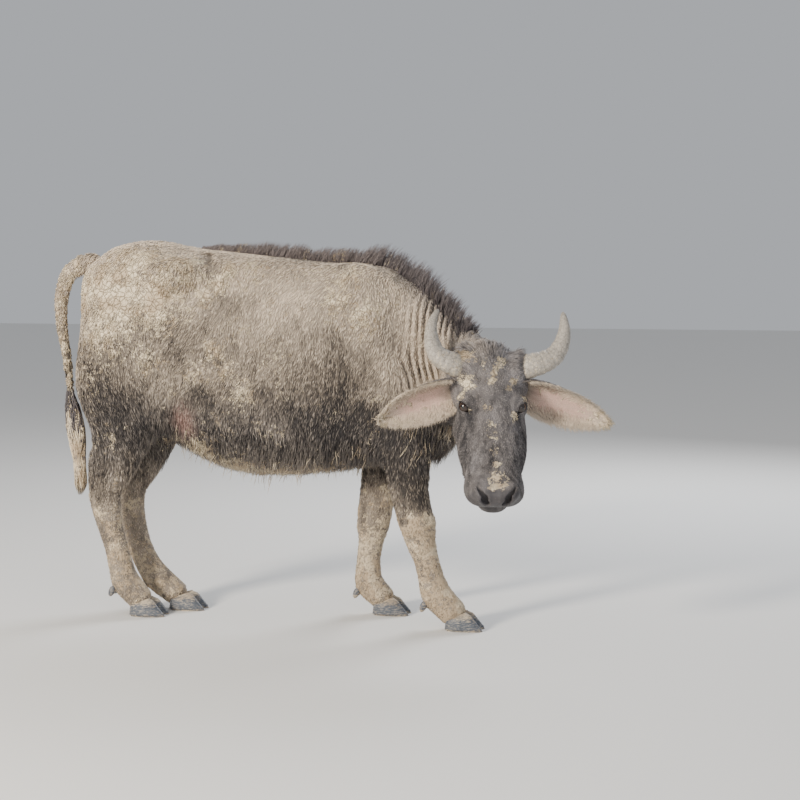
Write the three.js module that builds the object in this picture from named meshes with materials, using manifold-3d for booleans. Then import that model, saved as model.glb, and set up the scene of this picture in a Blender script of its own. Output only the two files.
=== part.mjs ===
// A young water buffalo standing with its head turned to its right, life size.
// +X runs forward along the body, +Y is the animal's left, +Z is up, in millimetres.
// The origin is on the floor, under the middle of the whole animal.
import * as THREE from 'three';
import { mergeVertices } from 'three/addons/utils/BufferGeometryUtils.js';
import { LoftGeometry } from 'three/addons/geometries/LoftGeometry.js';
import Module from 'manifold-3d';

const wasm = await Module();
wasm.setup();

// Driving dimensions
const GAP = 0.3;
const FACET_SLACK = 1.3;
const MERGE_SLACK = 0.01;
const TORSO_CELL = [66, 45, 45];
const NECK_CELL = [38, 36, 36];
const LEG_CELL = [30, 29, 42];
const HEAD_CELL = [20.5, 16, 16];
const RIGHT = -1;
const LEFT = 1;

// Torso stations from rump to chest: x, back line, belly line, half width, height of the widest line
const TORSO = [
  [-690, 1212, 800, 118, 1040],
  [-600, 1266, 690, 172, 1010],
  [-480, 1282, 636, 214, 960],
  [-350, 1259, 560, 236, 890],
  [-200, 1237, 505, 262, 830],
  [-50, 1220, 495, 276, 800],
  [100, 1211, 508, 264, 800],
  [230, 1204, 530, 232, 810],
  [340, 1160, 575, 190, 830],
  [430, 1066, 640, 140, 850],
];
const TORSO_ENDS = [56, 60];
const TORSO_SQUARE = 2.15;

// Neck stations from withers to skull: centre x, y, z, radius up and down, radius sideways
const NECK = [
  [320, 0, 874, 282, 168],
  [420, -16, 862, 228, 140],
  [512, -62, 838, 196, 118],
  [580, -118, 840, 156, 102],
  [628, -164, 850, 112, 90],
];

// The head's own frame: origin at the poll, x to the nose, y to its left, z out of the forehead
const POLL = new THREE.Vector3(688, -226, 926);
const HEAD_TURN = THREE.MathUtils.degToRad(-77);
const HEAD_DROP = THREE.MathUtils.degToRad(57);
const HEAD_LEAN = THREE.MathUtils.degToRad(-2.5);

// Skull stations from poll to nose: x, forehead line, jaw line, half width, widest line
const SKULL = [
  [-25, -46, -150, 66, -88],
  [10, -18, -186, 92, -84],
  [60, -3, -208, 104, -80],
  [120, 5, -218, 109, -84],
  [185, 2, -214, 104, -94],
  [240, -5, -202, 105, -98],
  [310, -15, -180, 99, -98],
  [380, -23, -154, 88, -90],
  [430, -27, -128, 84, -78],
  [468, -33, -110, 80, -72],
];
const SKULL_ENDS = [30, 36];
const SKULL_SQUARE = 2.3;

// Leg stations from shoulder or hip to hoof: x, y, z, radius fore and aft, radius sideways
const LEGS = {
  front_right: {
    side: RIGHT,
    foot: [590, -108],
    stations: [
      [345, -128, 760, 118, 66],
      [378, -130, 640, 104, 62],
      [398, -128, 545, 86, 58],
      [404, -124, 465, 72, 54],
      [416, -120, 400, 66, 52],
      [430, -117, 350, 62, 54],
      [441, -115, 290, 50, 43],
      [457, -112, 232, 43, 38],
      [474, -110, 165, 44, 40],
      [494, -109, 108, 51, 47],
      [540, -108, 62, 46, 48],
    ],
  },
  front_left: {
    side: LEFT,
    foot: [304, 108],
    stations: [
      [310, 128, 760, 118, 66],
      [292, 130, 640, 102, 62],
      [272, 128, 545, 84, 58],
      [254, 124, 455, 70, 54],
      [243, 120, 380, 64, 52],
      [234, 117, 310, 59, 53],
      [226, 115, 248, 45, 41],
      [220, 112, 194, 41, 38],
      [217, 110, 140, 46, 43],
      [222, 109, 104, 50, 47],
      [262, 108, 60, 45, 48],
    ],
  },
  hind_right: {
    side: RIGHT,
    foot: [-504, -66],
    stations: [
      [-560, -118, 960, 150, 96],
      [-578, -132, 800, 146, 92],
      [-578, -126, 680, 112, 78],
      [-590, -116, 590, 104, 64],
      [-622, -104, 520, 92, 54],
      [-648, -94, 440, 66, 47],
      [-650, -88, 380, 57, 44],
      [-637, -80, 300, 46, 39],
      [-618, -74, 225, 43, 37],
      [-603, -70, 160, 46, 40],
      [-590, -68, 114, 51, 46],
      [-546, -66, 62, 46, 47],
    ],
  },
  hind_left: {
    side: LEFT,
    foot: [-404, 66],
    stations: [
      [-556, 118, 960, 150, 96],
      [-562, 132, 800, 146, 92],
      [-552, 126, 680, 112, 78],
      [-560, 116, 590, 102, 64],
      [-590, 104, 515, 88, 54],
      [-620, 94, 430, 64, 47],
      [-624, 88, 370, 56, 44],
      [-608, 80, 295, 46, 39],
      [-588, 74, 220, 45, 37],
      [-556, 70, 155, 47, 40],
      [-524, 68, 110, 51, 46],
      [-462, 66, 60, 47, 47],
    ],
  },
};

// Muscle and bone masses: centre, radii, tilt in degrees about the side axis. Each has a twin
const MASSES = [
  { name: 'blade', at: [290, 118, 985], radii: [112, 66, 215], tilt: -22 },
  { name: 'upper_arm', at: [392, 122, 745], radii: [96, 68, 120], tilt: 30 },
  { name: 'hip_bone', at: [-372, 176, 1158], radii: [96, 66, 62], tilt: 10 },
  { name: 'rump', at: [-545, 95, 1120], radii: [150, 82, 110], tilt: 12 },
  { name: 'thigh', at: [-582, 128, 850], radii: [136, 88, 195], tilt: 8 },
  { name: 'stifle', at: [-462, 142, 735], radii: [62, 52, 92], tilt: 18 },
  { name: 'loin', at: [-180, 70, 1160], radii: [230, 66, 44], tilt: 3 },
];
const BRISKET = { at: [452, -8, 668], radii: [88, 76, 88] };

// Soft hollows, written the same way
const HOLLOWS = [
  { name: 'flank', at: [-262, 262, 1118], radii: [72, 62, 78], tilt: -20 },
  { name: 'neck_root', at: [408, 206, 960], radii: [52, 56, 150], tilt: -18 },
  { name: 'behind_elbow', at: [238, 262, 690], radii: [56, 44, 110], tilt: 16 },
];

// Smaller forms of the head, in its own frame. Those off the middle have a twin
const FACE = [
  { name: 'brow_roof', at: [52, 0, -48], radii: [78, 92, 44] },
  { name: 'horn_boss', at: [42, 86, -42], radii: [42, 26, 34] },
  { name: 'ear_base', at: [80, 98, -84], radii: [40, 28, 40] },
  { name: 'orbit', at: [172, 84, -44], radii: [40, 26, 30] },
  { name: 'cheek', at: [160, 80, -158], radii: [104, 38, 78] },
  { name: 'jaw_bar', at: [290, 58, -166], radii: [120, 34, 34] },
  { name: 'cheek_ridge', at: [275, 84, -92], radii: [96, 26, 30] },
  { name: 'upper_lip', at: [450, 44, -88], radii: [54, 50, 36] },
  { name: 'nose_wing', at: [474, 44, -42], radii: [34, 28, 20] },
  { name: 'nose_pad', at: [486, 0, -60], radii: [28, 50, 34] },
  { name: 'chin', at: [452, 0, -138], radii: [54, 50, 24] },
  { name: 'jaw_end', at: [370, 26, -152], radii: [92, 34, 24] },
];

// Mouth line, a groove round the front of the muzzle, and nostrils, in the head's frame
const MOUTH_CENTRE = [392, 0, -110];
const MOUTH_SWEEP = THREE.MathUtils.degToRad(98);
const MOUTH_DEPTH = 13;
const MOUTH_GAPE = 6;
const NOSTRIL = { at: [489, 36, -35], radii: [27, 16, 19], flare: 18, lift: -24 };

// Horns: stations x, y, z in the head's frame, radius. Flattened front to back
const HORN = [
  [52, 84, -66, 34],
  [43, 122, -19, 42],
  [34, 156, -11, 38],
  [12, 188, -5, 33],
  [-26, 207, 4, 27],
  [-70, 213, 14, 20],
  [-106, 207, 24, 13],
  [-128, 200, 32, 6],
];
const HORN_FLAT = 0.82;
const HORN_DRIFT = 32;

// Ears: a cupped leaf on an axis in the head's frame
const EAR_ROOT = [92, 100, -90];
const EAR_TIP = [192, 371, -120];
const EAR_DRIFT = 17;
const EAR_OPENS = [0.66, 0.05, 0.74];
const EAR_HALF_WIDTH = 57;
const EAR_THICK = 9;

// Eyes
const EYE_AT = [184, 89, -37];
const LID_OUT = 15;
const EYE_RADIUS = 23;
const EYE_LOOKS = [0.2, 0.86, 0.47];
const EYE_CORNERS = [0.82, -0.5, 0.2];
const LID_LONG = 29;
const LID_TALL = 19;
const LID_THICK = 6;

// Hooves: two claws to a foot, each with a flat sole on the floor
const CLAW_LENGTH = 132;
const CLAW_WIDTH = 50;
const CLAW_HEIGHT = 62;
const CLEFT = 5;

// Tail: stations x, y, z, radius, from the root down
const TAIL = [
  [-716, 0, 1196, 34],
  [-758, 0, 1190, 30],
  [-800, -2, 1158, 27],
  [-824, -4, 1106, 25],
  [-831, -6, 1040, 22],
  [-826, -8, 960, 19],
  [-812, -8, 870, 16],
  [-804, -8, 790, 13],
  [-800, -8, 735, 11],
];
const SWITCH = [
  [-800, -8, 734, 16],
  [-793, -9, 690, 30],
  [-784, -10, 630, 40],
  [-776, -10, 570, 34],
  [-770, -10, 510, 22],
  [-768, -10, 470, 24],
  [-768, -10, 430, 25],
  [-770, -10, 394, 10],
];

// Hair standing along the back and neck: stations x, y over the skin, height, half thickness of its core
const CREST = [
  [-310, 0, 10, 10],
  [-200, 0, 27, 13],
  [-50, 0, 38, 15],
  [100, 0, 42, 16],
  [230, 0, 45, 17],
  [320, 0, 46, 17],
  [400, -12, 48, 17],
];
const POLL_TUFT = [
  [560, -100, 14, 16],
  [612, -142, 26, 16],
  [652, -184, 28, 18],
  [682, -222, 24, 18],
  [702, -250, 12, 16],
];
const MANE = [
  [250, 0, 48, 17],
  [320, 0, 48, 17],
  [400, -12, 46, 17],
  [460, -34, 44, 16],
  [520, -68, 42, 16],
  [570, -108, 40, 15],
  [610, -140, 36, 15],
];

const CORE_SHARE = 0.4;

// A lock of hair: share of its length, of its width and of its thickness, from root to tip
const LOCK_TAPER = [
  [0, 0.85, 1],
  [0.42, 1, 0.8],
  [0.78, 0.58, 0.5],
  [1, 0.1, 0.25],
];
const LOCK_SUNK = 16;
const LOCK_THICK = 15;
const CREST_LOCKS = 30;
const MANE_LOCKS = 18;
const POLL_LOCKS = 9;
const BRISKET_LOCKS = 7;
const SWITCH_LOCKS = 7;

// Fringe under the brisket: first and last x, y, length of its locks
const FRINGE = { from: [392, -6], to: [520, -62], length: 46, width: 40 };

const COLOURS = {
  coat: new THREE.MeshStandardMaterial({ color: 0x7d7265, roughness: 0.95, metalness: 0 }),
  face: new THREE.MeshStandardMaterial({ color: 0x56505a, roughness: 0.9, metalness: 0 }),
  mud: new THREE.MeshStandardMaterial({ color: 0x9a8468, roughness: 1, metalness: 0 }),
  horn: new THREE.MeshStandardMaterial({ color: 0xa79c8a, roughness: 0.7, metalness: 0 }),
  hoof: new THREE.MeshStandardMaterial({ color: 0x6b7079, roughness: 0.6, metalness: 0 }),
  eye: new THREE.MeshStandardMaterial({ color: 0x17110f, roughness: 0.15, metalness: 0 }),
  hair: new THREE.MeshStandardMaterial({ color: 0x3d3a40, roughness: 0.9, metalness: 0 }),
};

// Fields: each function takes x, y, z and gives a distance-like number, below zero inside

// A smooth curve through the rows of a table, as a function of its first column
function column(table, index) {
  const slope = table.map((row, i) => {
    const a = table[Math.max(i - 1, 0)];
    const b = table[Math.min(i + 1, table.length - 1)];
    return (b[index] - a[index]) / (b[0] - a[0]);
  });
  return (x) => {
    let i = 0;
    while (i < table.length - 2 && x > table[i + 1][0]) i += 1;
    const span = table[i + 1][0] - table[i][0];
    const t = THREE.MathUtils.clamp((x - table[i][0]) / span, 0, 1);
    const t2 = t * t;
    const t3 = t2 * t;
    return table[i][index] * (2 * t3 - 3 * t2 + 1) + slope[i] * span * (t3 - 2 * t2 + t)
      + table[i + 1][index] * (3 * t2 - 2 * t3) + slope[i + 1] * span * (t3 - t2);
  };
}

// A long rounded form: its outline from above and from the side comes from the stations
function barrel(table, ends, square) {
  const [top, bottom, half, widest] = [1, 2, 3, 4].map((index) => column(table, index));
  const first = table[0][0];
  const last = table[table.length - 1][0];
  return (x, y, z) => {
    const at = THREE.MathUtils.clamp(x, first, last);
    const middle = widest(at);
    const tall = z > middle ? top(at) - middle : middle - bottom(at);
    const wide = half(at);
    const across = (Math.abs(y) / wide) ** square + (Math.abs(z - middle) / tall) ** square;
    const beyond = x < first ? (first - x) / ends[0] : Math.max(0, x - last) / ends[1];
    const ratio = Math.sqrt(across ** (2 / square) + beyond * beyond);
    return (ratio - 1) * Math.min(wide, tall);
  };
}

// A limb: flattened cones along a smooth curve, wide along its run and narrow across it
function limb(stations, step) {
  const curve = new THREE.CatmullRomCurve3(stations.map((s) => new THREE.Vector3(s[0], s[1], s[2])), false, 'centripetal');
  const pieces = [];
  const spans = stations.length - 1;
  for (let i = 0; i < spans; i += 1) {
    for (let j = 0; j < step; j += 1) {
      pieces.push(i + j / step);
    }
  }
  pieces.push(spans);
  const rings = pieces.map((u) => {
    const i = Math.min(Math.floor(u), spans - 1);
    const t = u - i;
    const blend = (k) => stations[i][k] * (1 - t) + stations[i + 1][k] * t;
    return { at: curve.getPoint(u / spans), r: blend(3), w: blend(4) };
  });
  const parts = [];
  for (let i = 0; i + 1 < rings.length; i += 1) {
    const along = rings[i + 1].at.clone().sub(rings[i].at);
    const flat = new THREE.Vector3(along.x, along.y, 0);
    const turn = flat.length() > 0.75 * along.length() ? flat.normalize() : new THREE.Vector3(1, 0, 0);
    const side = new THREE.Vector3(-turn.y, turn.x, 0);
    parts.push({ a: rings[i], b: rings[i + 1], along, long: along.lengthSq(), side });
  }
  return (x, y, z) => {
    let least = Infinity;
    for (const part of parts) {
      const dx = x - part.a.at.x;
      const dy = y - part.a.at.y;
      const dz = z - part.a.at.z;
      const t = THREE.MathUtils.clamp((dx * part.along.x + dy * part.along.y + dz * part.along.z) / part.long, 0, 1);
      const vx = dx - part.along.x * t;
      const vy = dy - part.along.y * t;
      const vz = dz - part.along.z * t;
      const r = part.a.r + (part.b.r - part.a.r) * t;
      const w = part.a.w + (part.b.w - part.a.w) * t;
      const l = vx * part.side.x + vy * part.side.y + vz * part.side.z;
      const s2 = Math.max(0, vx * vx + vy * vy + vz * vz - l * l);
      const d = (Math.sqrt(s2 / (r * r) + (l * l) / (w * w)) - 1) * Math.min(r, w);
      if (d < least) least = d;
    }
    return least;
  };
}

// An oval mass, tilted about the side axis
function mass(at, radii, tilt) {
  const angle = THREE.MathUtils.degToRad(tilt);
  const c = Math.cos(angle);
  const s = Math.sin(angle);
  const least = Math.min(...radii);
  return (x, y, z) => {
    const dx = x - at[0];
    const dz = z - at[2];
    const u = (dx * c - dz * s) / radii[0];
    const v = (y - at[1]) / radii[1];
    const w = (dx * s + dz * c) / radii[2];
    return (Math.sqrt(u * u + v * v + w * w) - 1) * least;
  };
}

function blend(a, b, k) {
  const h = Math.max(k - Math.abs(a - b), 0) / k;
  return Math.min(a, b) - h * h * k * 0.25;
}

// Joins the fields into one with soft creases between them
function joined(fields, k) {
  return (x, y, z) => {
    let value = fields[0](x, y, z);
    for (let i = 1; i < fields.length; i += 1) value = blend(value, fields[i](x, y, z), k);
    return value;
  };
}

const headMatrix = new THREE.Matrix4().makeRotationZ(HEAD_TURN)
  .multiply(new THREE.Matrix4().makeRotationY(HEAD_DROP))
  .multiply(new THREE.Matrix4().makeRotationX(HEAD_LEAN))
  .setPosition(POLL);
const bodyFromHead = headMatrix.elements;
const headFromBody = headMatrix.clone().invert().elements;

function transformed(e, x, y, z) {
  return [
    e[0] * x + e[4] * y + e[8] * z + e[12],
    e[1] * x + e[5] * y + e[9] * z + e[13],
    e[2] * x + e[6] * y + e[10] * z + e[14],
  ];
}

const mirrored = (at, side) => [at[0], at[1] * side, at[2]];

function twins(forms) {
  return forms.flatMap((form) => {
    const sides = form.at[1] === 0 ? [LEFT] : [RIGHT, LEFT];
    return sides.map((side) => mass(mirrored(form.at, side), form.radii, form.tilt ?? 0));
  });
}

const torsoField = barrel(TORSO, TORSO_ENDS, TORSO_SQUARE);
const neckField = limb(NECK, 4);
const legFields = Object.values(LEGS).map((leg) => limb(leg.stations, 3));
const massFields = twins(MASSES);
const brisketField = mass(BRISKET.at, BRISKET.radii, 0);
const hollowFields = twins(HOLLOWS);
const trunkField = joined([torsoField, neckField, brisketField, ...massFields], 66);
const limbsField = joined(legFields, 30);
const skullField = barrel(SKULL, SKULL_ENDS, SKULL_SQUARE);
const faceField = joined([skullField, ...twins(FACE)], 22);

const bodyField = (x, y, z) => {
  let value = blend(trunkField(x, y, z), limbsField(x, y, z), 56);
  for (const hollow of hollowFields) value = -blend(-value, hollow(x, y, z), 60);
  return value;
};
const headField = (x, y, z) => {
  const face = faceField(x, y, z);
  const neck = neckField(...transformed(bodyFromHead, x, y, z));
  return blend(face, neck, 44);
};
const wholeField = (x, y, z) => {
  const body = bodyField(x, y, z);
  if (body > 200 || x < 480) return body;
  return blend(body, faceField(...transformed(headFromBody, x, y, z)), 44);
};

// Surface of a field inside a box: one vertex in each cell that the surface crosses
function surface(field, low, high, cell) {
  const inBox = (x, y, z) => Math.max(low[0] - x, x - high[0], low[1] - y, y - high[1], low[2] - z, z - high[2]);
  const value = (x, y, z) => Math.max(field(x, y, z), inBox(x, y, z));
  const start = low.map((v, i) => v - 1.5 * cell[i]);
  const count = low.map((v, i) => Math.ceil((high[i] - v) / cell[i]) + 4);
  const [nx, ny, nz] = count;
  const grid = new Float64Array(nx * ny * nz);
  const index = (i, j, k) => (i * ny + j) * nz + k;
  for (let i = 0; i < nx; i += 1) {
    for (let j = 0; j < ny; j += 1) {
      for (let k = 0; k < nz; k += 1) {
        const point = [i, j, k].map((g, n) => start[n] + g * cell[n]);
        grid[index(i, j, k)] = value(...point) || 1e-6;
      }
    }
  }
  const corners = [0, 1, 2, 3, 4, 5, 6, 7].map((n) => [n & 1, (n >> 1) & 1, (n >> 2) & 1]);
  const edges = [[0, 1], [2, 3], [4, 5], [6, 7], [0, 2], [1, 3], [4, 6], [5, 7], [0, 4], [1, 5], [2, 6], [3, 7]];
  const vertexAt = new Int32Array(nx * ny * nz).fill(-1);
  const vertices = [];
  for (let i = 0; i + 1 < nx; i += 1) {
    for (let j = 0; j + 1 < ny; j += 1) {
      for (let k = 0; k + 1 < nz; k += 1) {
        const values = corners.map(([a, b, c]) => grid[index(i + a, j + b, k + c)]);
        const crossed = edges.filter(([a, b]) => (values[a] < 0) !== (values[b] < 0));
        if (crossed.length === 0) continue;
        const sum = [0, 0, 0];
        for (const [a, b] of crossed) {
          const t = values[a] / (values[a] - values[b]);
          for (let n = 0; n < 3; n += 1) sum[n] += corners[a][n] + t * (corners[b][n] - corners[a][n]);
        }
        vertexAt[index(i, j, k)] = vertices.length / 3;
        vertices.push(...[i, j, k].map((g, n) => start[n] + (g + sum[n] / crossed.length) * cell[n]));
      }
    }
  }
  settle(vertices, value, Math.min(...cell));
  const faces = [];
  const quad = (a, b, c, d, flip) => {
    const distance = (p, q) => Math.hypot(...[0, 1, 2].map((n) => vertices[3 * p + n] - vertices[3 * q + n]));
    const halves = distance(a, c) < distance(b, d) ? [a, b, c, a, c, d] : [b, c, d, b, d, a];
    faces.push(...(flip ? halves : halves.reverse()));
  };
  for (let i = 1; i + 1 < nx; i += 1) {
    for (let j = 1; j + 1 < ny; j += 1) {
      for (let k = 1; k + 1 < nz; k += 1) {
        const here = grid[index(i, j, k)] < 0;
        const v = (a, b, c) => vertexAt[index(i - a, j - b, k - c)];
        if (here !== grid[index(i + 1, j, k)] < 0) quad(v(0, 0, 0), v(0, 1, 0), v(0, 1, 1), v(0, 0, 1), here);
        if (here !== grid[index(i, j + 1, k)] < 0) quad(v(0, 0, 0), v(0, 0, 1), v(1, 0, 1), v(1, 0, 0), here);
        if (here !== grid[index(i, j, k + 1)] < 0) quad(v(0, 0, 0), v(1, 0, 0), v(1, 1, 0), v(0, 1, 0), here);
      }
    }
  }
  const geometry = new THREE.BufferGeometry();
  geometry.setAttribute('position', new THREE.Float32BufferAttribute(vertices, 3));
  geometry.setIndex(faces);
  return geometry;
}

// Moves each vertex onto the true surface, by steps along the field's slope
function settle(vertices, value, cell) {
  const h = cell * 0.02;
  for (let v = 0; v < vertices.length; v += 3) {
    const home = vertices.slice(v, v + 3);
    const p = [...home];
    for (let pass = 0; pass < 4; pass += 1) {
      const d = value(...p);
      const slope = [0, 1, 2].map((n) => {
        const q = [...p];
        q[n] += h;
        return (value(...q) - d) / h;
      });
      const steep = slope[0] ** 2 + slope[1] ** 2 + slope[2] ** 2;
      if (steep < 1e-4) break;
      for (let n = 0; n < 3; n += 1) p[n] -= (0.8 * d * slope[n]) / steep;
    }
    const moved = Math.hypot(...p.map((c, n) => c - home[n]));
    const share = Math.min(1, (0.45 * cell) / (moved || 1));
    for (let n = 0; n < 3; n += 1) vertices[v + n] = home[n] + (p[n] - home[n]) * share;
  }
}

// Solids: closed meshes that can be joined and cut

function solidOf(geometry, matrix) {
  const bare = new THREE.BufferGeometry();
  bare.setAttribute('position', geometry.getAttribute('position').clone());
  if (geometry.index) bare.setIndex(geometry.index.clone());
  if (matrix) bare.applyMatrix4(matrix);
  const merged = mergeVertices(bare, 1e-3);
  const vertProperties = new Float32Array(merged.getAttribute('position').array);
  const triVerts = new Uint32Array(merged.index.array);
  return new wasm.Manifold(new wasm.Mesh({ numProp: 3, vertProperties, triVerts }));
}

function geometryOf(solid) {
  const mesh = largest(solid.simplify(MERGE_SLACK)).getMesh();
  const geometry = new THREE.BufferGeometry();
  const positions = new Float32Array(mesh.numVert * 3);
  for (let i = 0; i < mesh.numVert; i += 1) {
    positions.set(mesh.vertProperties.slice(i * mesh.numProp, i * mesh.numProp + 3), i * 3);
  }
  geometry.setAttribute('position', new THREE.BufferAttribute(positions, 3));
  geometry.setIndex(new THREE.BufferAttribute(new Uint32Array(mesh.triVerts), 1));
  return geometry;
}

// The solid of a field, with needless facets taken out
function formOf(field, low, high, cell, matrix) {
  return solidOf(surface(field, low, high, cell), matrix).simplify(FACET_SLACK);
}

// The biggest closed surface of a solid, which drops a loose scrap and fills a sealed hollow
function largest(solid) {
  const bodies = solid.decompose().filter((body) => body.volume() > 0);
  return bodies.reduce((a, b) => (b.volume() > a.volume() ? b : a));
}

// The same solid with its surface moved out by about the gap
function grown(solid, by) {
  const geometry = geometryOf(solid);
  geometry.computeVertexNormals();
  const position = geometry.getAttribute('position');
  const normal = geometry.getAttribute('normal');
  for (let i = 0; i < position.count; i += 1) {
    position.setXYZ(
      i,
      position.getX(i) + normal.getX(i) * by,
      position.getY(i) + normal.getY(i) * by,
      position.getZ(i) + normal.getZ(i) * by,
    );
  }
  return solidOf(geometry);
}

const unionOf = (first, others) => others.reduce((whole, solid) => whole.add(solid), first);

// A large block whose face stands at a point and that runs the way of the normal
function block(point, normal, shift) {
  const size = 4000;
  const turn = new THREE.Quaternion().setFromUnitVectors(new THREE.Vector3(0, 0, 1), normal);
  const centre = point.clone().addScaledVector(normal, size / 2 + shift);
  const matrix = new THREE.Matrix4().compose(centre, turn, new THREE.Vector3(1, 1, 1));
  return solidOf(new THREE.BoxGeometry(size, size, size), matrix);
}

function box(low, high, margin) {
  const size = high.map((v, i) => v - low[i] + 2 * margin);
  const matrix = new THREE.Matrix4().makeTranslation(...high.map((v, i) => (v + low[i]) / 2));
  return solidOf(new THREE.BoxGeometry(...size), matrix);
}

// A round or oval tube through stations, closed at both ends
function tube(stations, sides, flat, rings) {
  const points = stations.map((s) => new THREE.Vector3(s[0], s[1], s[2]));
  const curve = new THREE.CatmullRomCurve3(points, false, 'centripetal');
  const frames = curve.computeFrenetFrames(rings, false);
  const sections = [];
  for (let i = 0; i <= rings; i += 1) {
    const u = i / rings;
    const at = curve.getPointAt(u);
    const place = curve.getUtoTmapping(u, 0) * (stations.length - 1);
    const n = Math.min(Math.floor(place), stations.length - 2);
    const radius = THREE.MathUtils.lerp(stations[n][3], stations[n + 1][3], place - n);
    const section = [];
    for (let j = 0; j < sides; j += 1) {
      const angle = (j / sides) * Math.PI * 2;
      const point = at.clone()
        .addScaledVector(frames.normals[i], Math.cos(angle) * radius * flat)
        .addScaledVector(frames.binormals[i], Math.sin(angle) * radius);
      section.push(point);
    }
    sections.push(section);
  }
  return loft(sections);
}

// A closed skin over rings of points, with the rings turned so that its faces point out
function loft(sections) {
  const centres = [0, 1].map((i) => {
    const sum = new THREE.Vector3();
    for (const point of sections[i]) sum.add(point);
    return sum.divideScalar(sections[i].length);
  });
  const normal = new THREE.Vector3();
  sections[0].forEach((point, j) => {
    const next = sections[0][(j + 1) % sections[0].length];
    normal.add(new THREE.Vector3().crossVectors(point.clone().sub(centres[0]), next.clone().sub(centres[0])));
  });
  const turned = normal.dot(centres[1].sub(centres[0])) < 0;
  const rings = turned ? sections.map((section) => [...section].reverse()) : sections;
  return solidOf(new LoftGeometry(rings, { capStart: true, capEnd: true }));
}

// Cuts between the parts of the body
const NECK_BASE = new THREE.Vector3(400, 0, 900);
const NECK_BASE_NORMAL = new THREE.Vector3(0.968, -0.02, 0.25).normalize();
const THROAT = new THREE.Vector3(-42, 0, -68).applyMatrix4(headMatrix);
const THROAT_NORMAL = new THREE.Vector3(0.78, 0.36, 0.5).transformDirection(headMatrix);
const LEG_BOXES = {
  front_right: { low: [262, -420, 30], high: [720, -52, 596] },
  front_left: { low: [110, 52, 30], high: [430, 420, 596] },
  hind_right: { low: [-780, -420, 30], high: [-432, -0.15, 676] },
  hind_left: { low: [-780, 0.15, 30], high: [-410, 420, 676] },
};

const beyondThroat = block(THROAT, THROAT_NORMAL, GAP / 2);
const beforeThroat = block(THROAT, THROAT_NORMAL.clone().negate(), GAP / 2);
const beyondNeckBase = block(NECK_BASE, NECK_BASE_NORMAL, GAP / 2);
const beforeNeckBase = block(NECK_BASE, NECK_BASE_NORMAL.clone().negate(), GAP / 2);

function clearOfLegs(solid) {
  return Object.values(LEG_BOXES).reduce((left, { low, high }) => left.subtract(box(low, high, GAP)), solid);
}

function torsoSolid() {
  const form = formOf(wholeField, [-800, -420, 460], [560, 420, 1330], TORSO_CELL);
  const hair = unionOf(ridge(CREST), hairRow(CREST, CREST_LOCKS, 31, 13));
  return clearOfLegs(form.intersect(beforeNeckBase)).add(hair.intersect(beforeNeckBase));
}

function neckSolid() {
  const form = formOf(wholeField, [300, -420, 560], [860, 300, 1260], NECK_CELL);
  const hair = unionOf(ridge(MANE), [...hairRow(MANE, MANE_LOCKS, 23, 15), ...brisketFringe()]);
  return clearOfLegs(form.add(hair)).intersect(beforeThroat).intersect(beyondNeckBase);
}

function legSolid(name) {
  const { low, high } = LEG_BOXES[name];
  const wide = [low.map((v, i) => v - 2 * LEG_CELL[i]), high.map((v, i) => v + 2 * LEG_CELL[i])];
  return formOf(wholeField, wide[0], wide[1], LEG_CELL).intersect(box(low, high, 0));
}

function headSolid() {
  const form = formOf(headField, [-150, -190, -320], [545, 190, 60], HEAD_CELL, headMatrix);
  const hair = unionOf(ridge(POLL_TUFT), hairRow(POLL_TUFT, POLL_LOCKS, 19, 22));
  return form.add(hair).intersect(beyondThroat);
}

function hornSolid(side) {
  const stations = HORN.map((s, i) => {
    const share = i / (HORN.length - 1);
    return [s[0], s[1] * side + HORN_DRIFT * share, s[2], s[3]];
  });
  return tube(stations, 9, HORN_FLAT, 12);
}

// Ear section half width and how far round the leaf curls, from root to tip
function earShape(t) {
  const width = EAR_HALF_WIDTH * Math.sin(Math.PI * (0.16 + 0.84 * t) ** 0.82) ** 0.72;
  return { width: Math.max(width, 7), curl: THREE.MathUtils.degToRad(128 - 92 * t ** 0.6) };
}

function earSolid(side) {
  const root = new THREE.Vector3(...mirrored(EAR_ROOT, side));
  const tip = new THREE.Vector3(...mirrored(EAR_TIP, side));
  tip.y += EAR_DRIFT;
  const opens = new THREE.Vector3(...mirrored(EAR_OPENS, side)).normalize();
  const along = tip.clone().sub(root).normalize();
  const across = new THREE.Vector3().crossVectors(along, opens).normalize();
  const facing = new THREE.Vector3().crossVectors(across, along).normalize();
  const rings = 8;
  const steps = 4;
  const sections = [];
  for (let i = 0; i <= rings; i += 1) {
    const t = i / rings;
    const { width, curl } = earShape(t);
    const radius = width / Math.sin(Math.min(curl, Math.PI / 2));
    const middle = root.clone().lerp(tip, t).addScaledVector(facing, -18 * Math.sin(Math.PI * t));
    const section = [];
    for (const layer of [1, -1]) {
      for (let j = 0; j <= steps; j += 1) {
        const angle = curl * (2 * (j / steps) - 1) * layer;
        const r = radius + (layer * EAR_THICK) / 2;
        const point = middle.clone()
          .addScaledVector(across, Math.sin(angle) * r)
          .addScaledVector(facing, (radius - Math.cos(angle) * r) * 0.8);
        section.push(point);
      }
    }
    sections.push(section);
  }
  return loft(sections);
}

function ball(at, radius, detail, matrix) {
  const geometry = new THREE.SphereGeometry(radius, detail, detail / 2);
  geometry.rotateX(Math.PI / 2);
  geometry.translate(...at);
  return solidOf(geometry, matrix);
}

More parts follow.
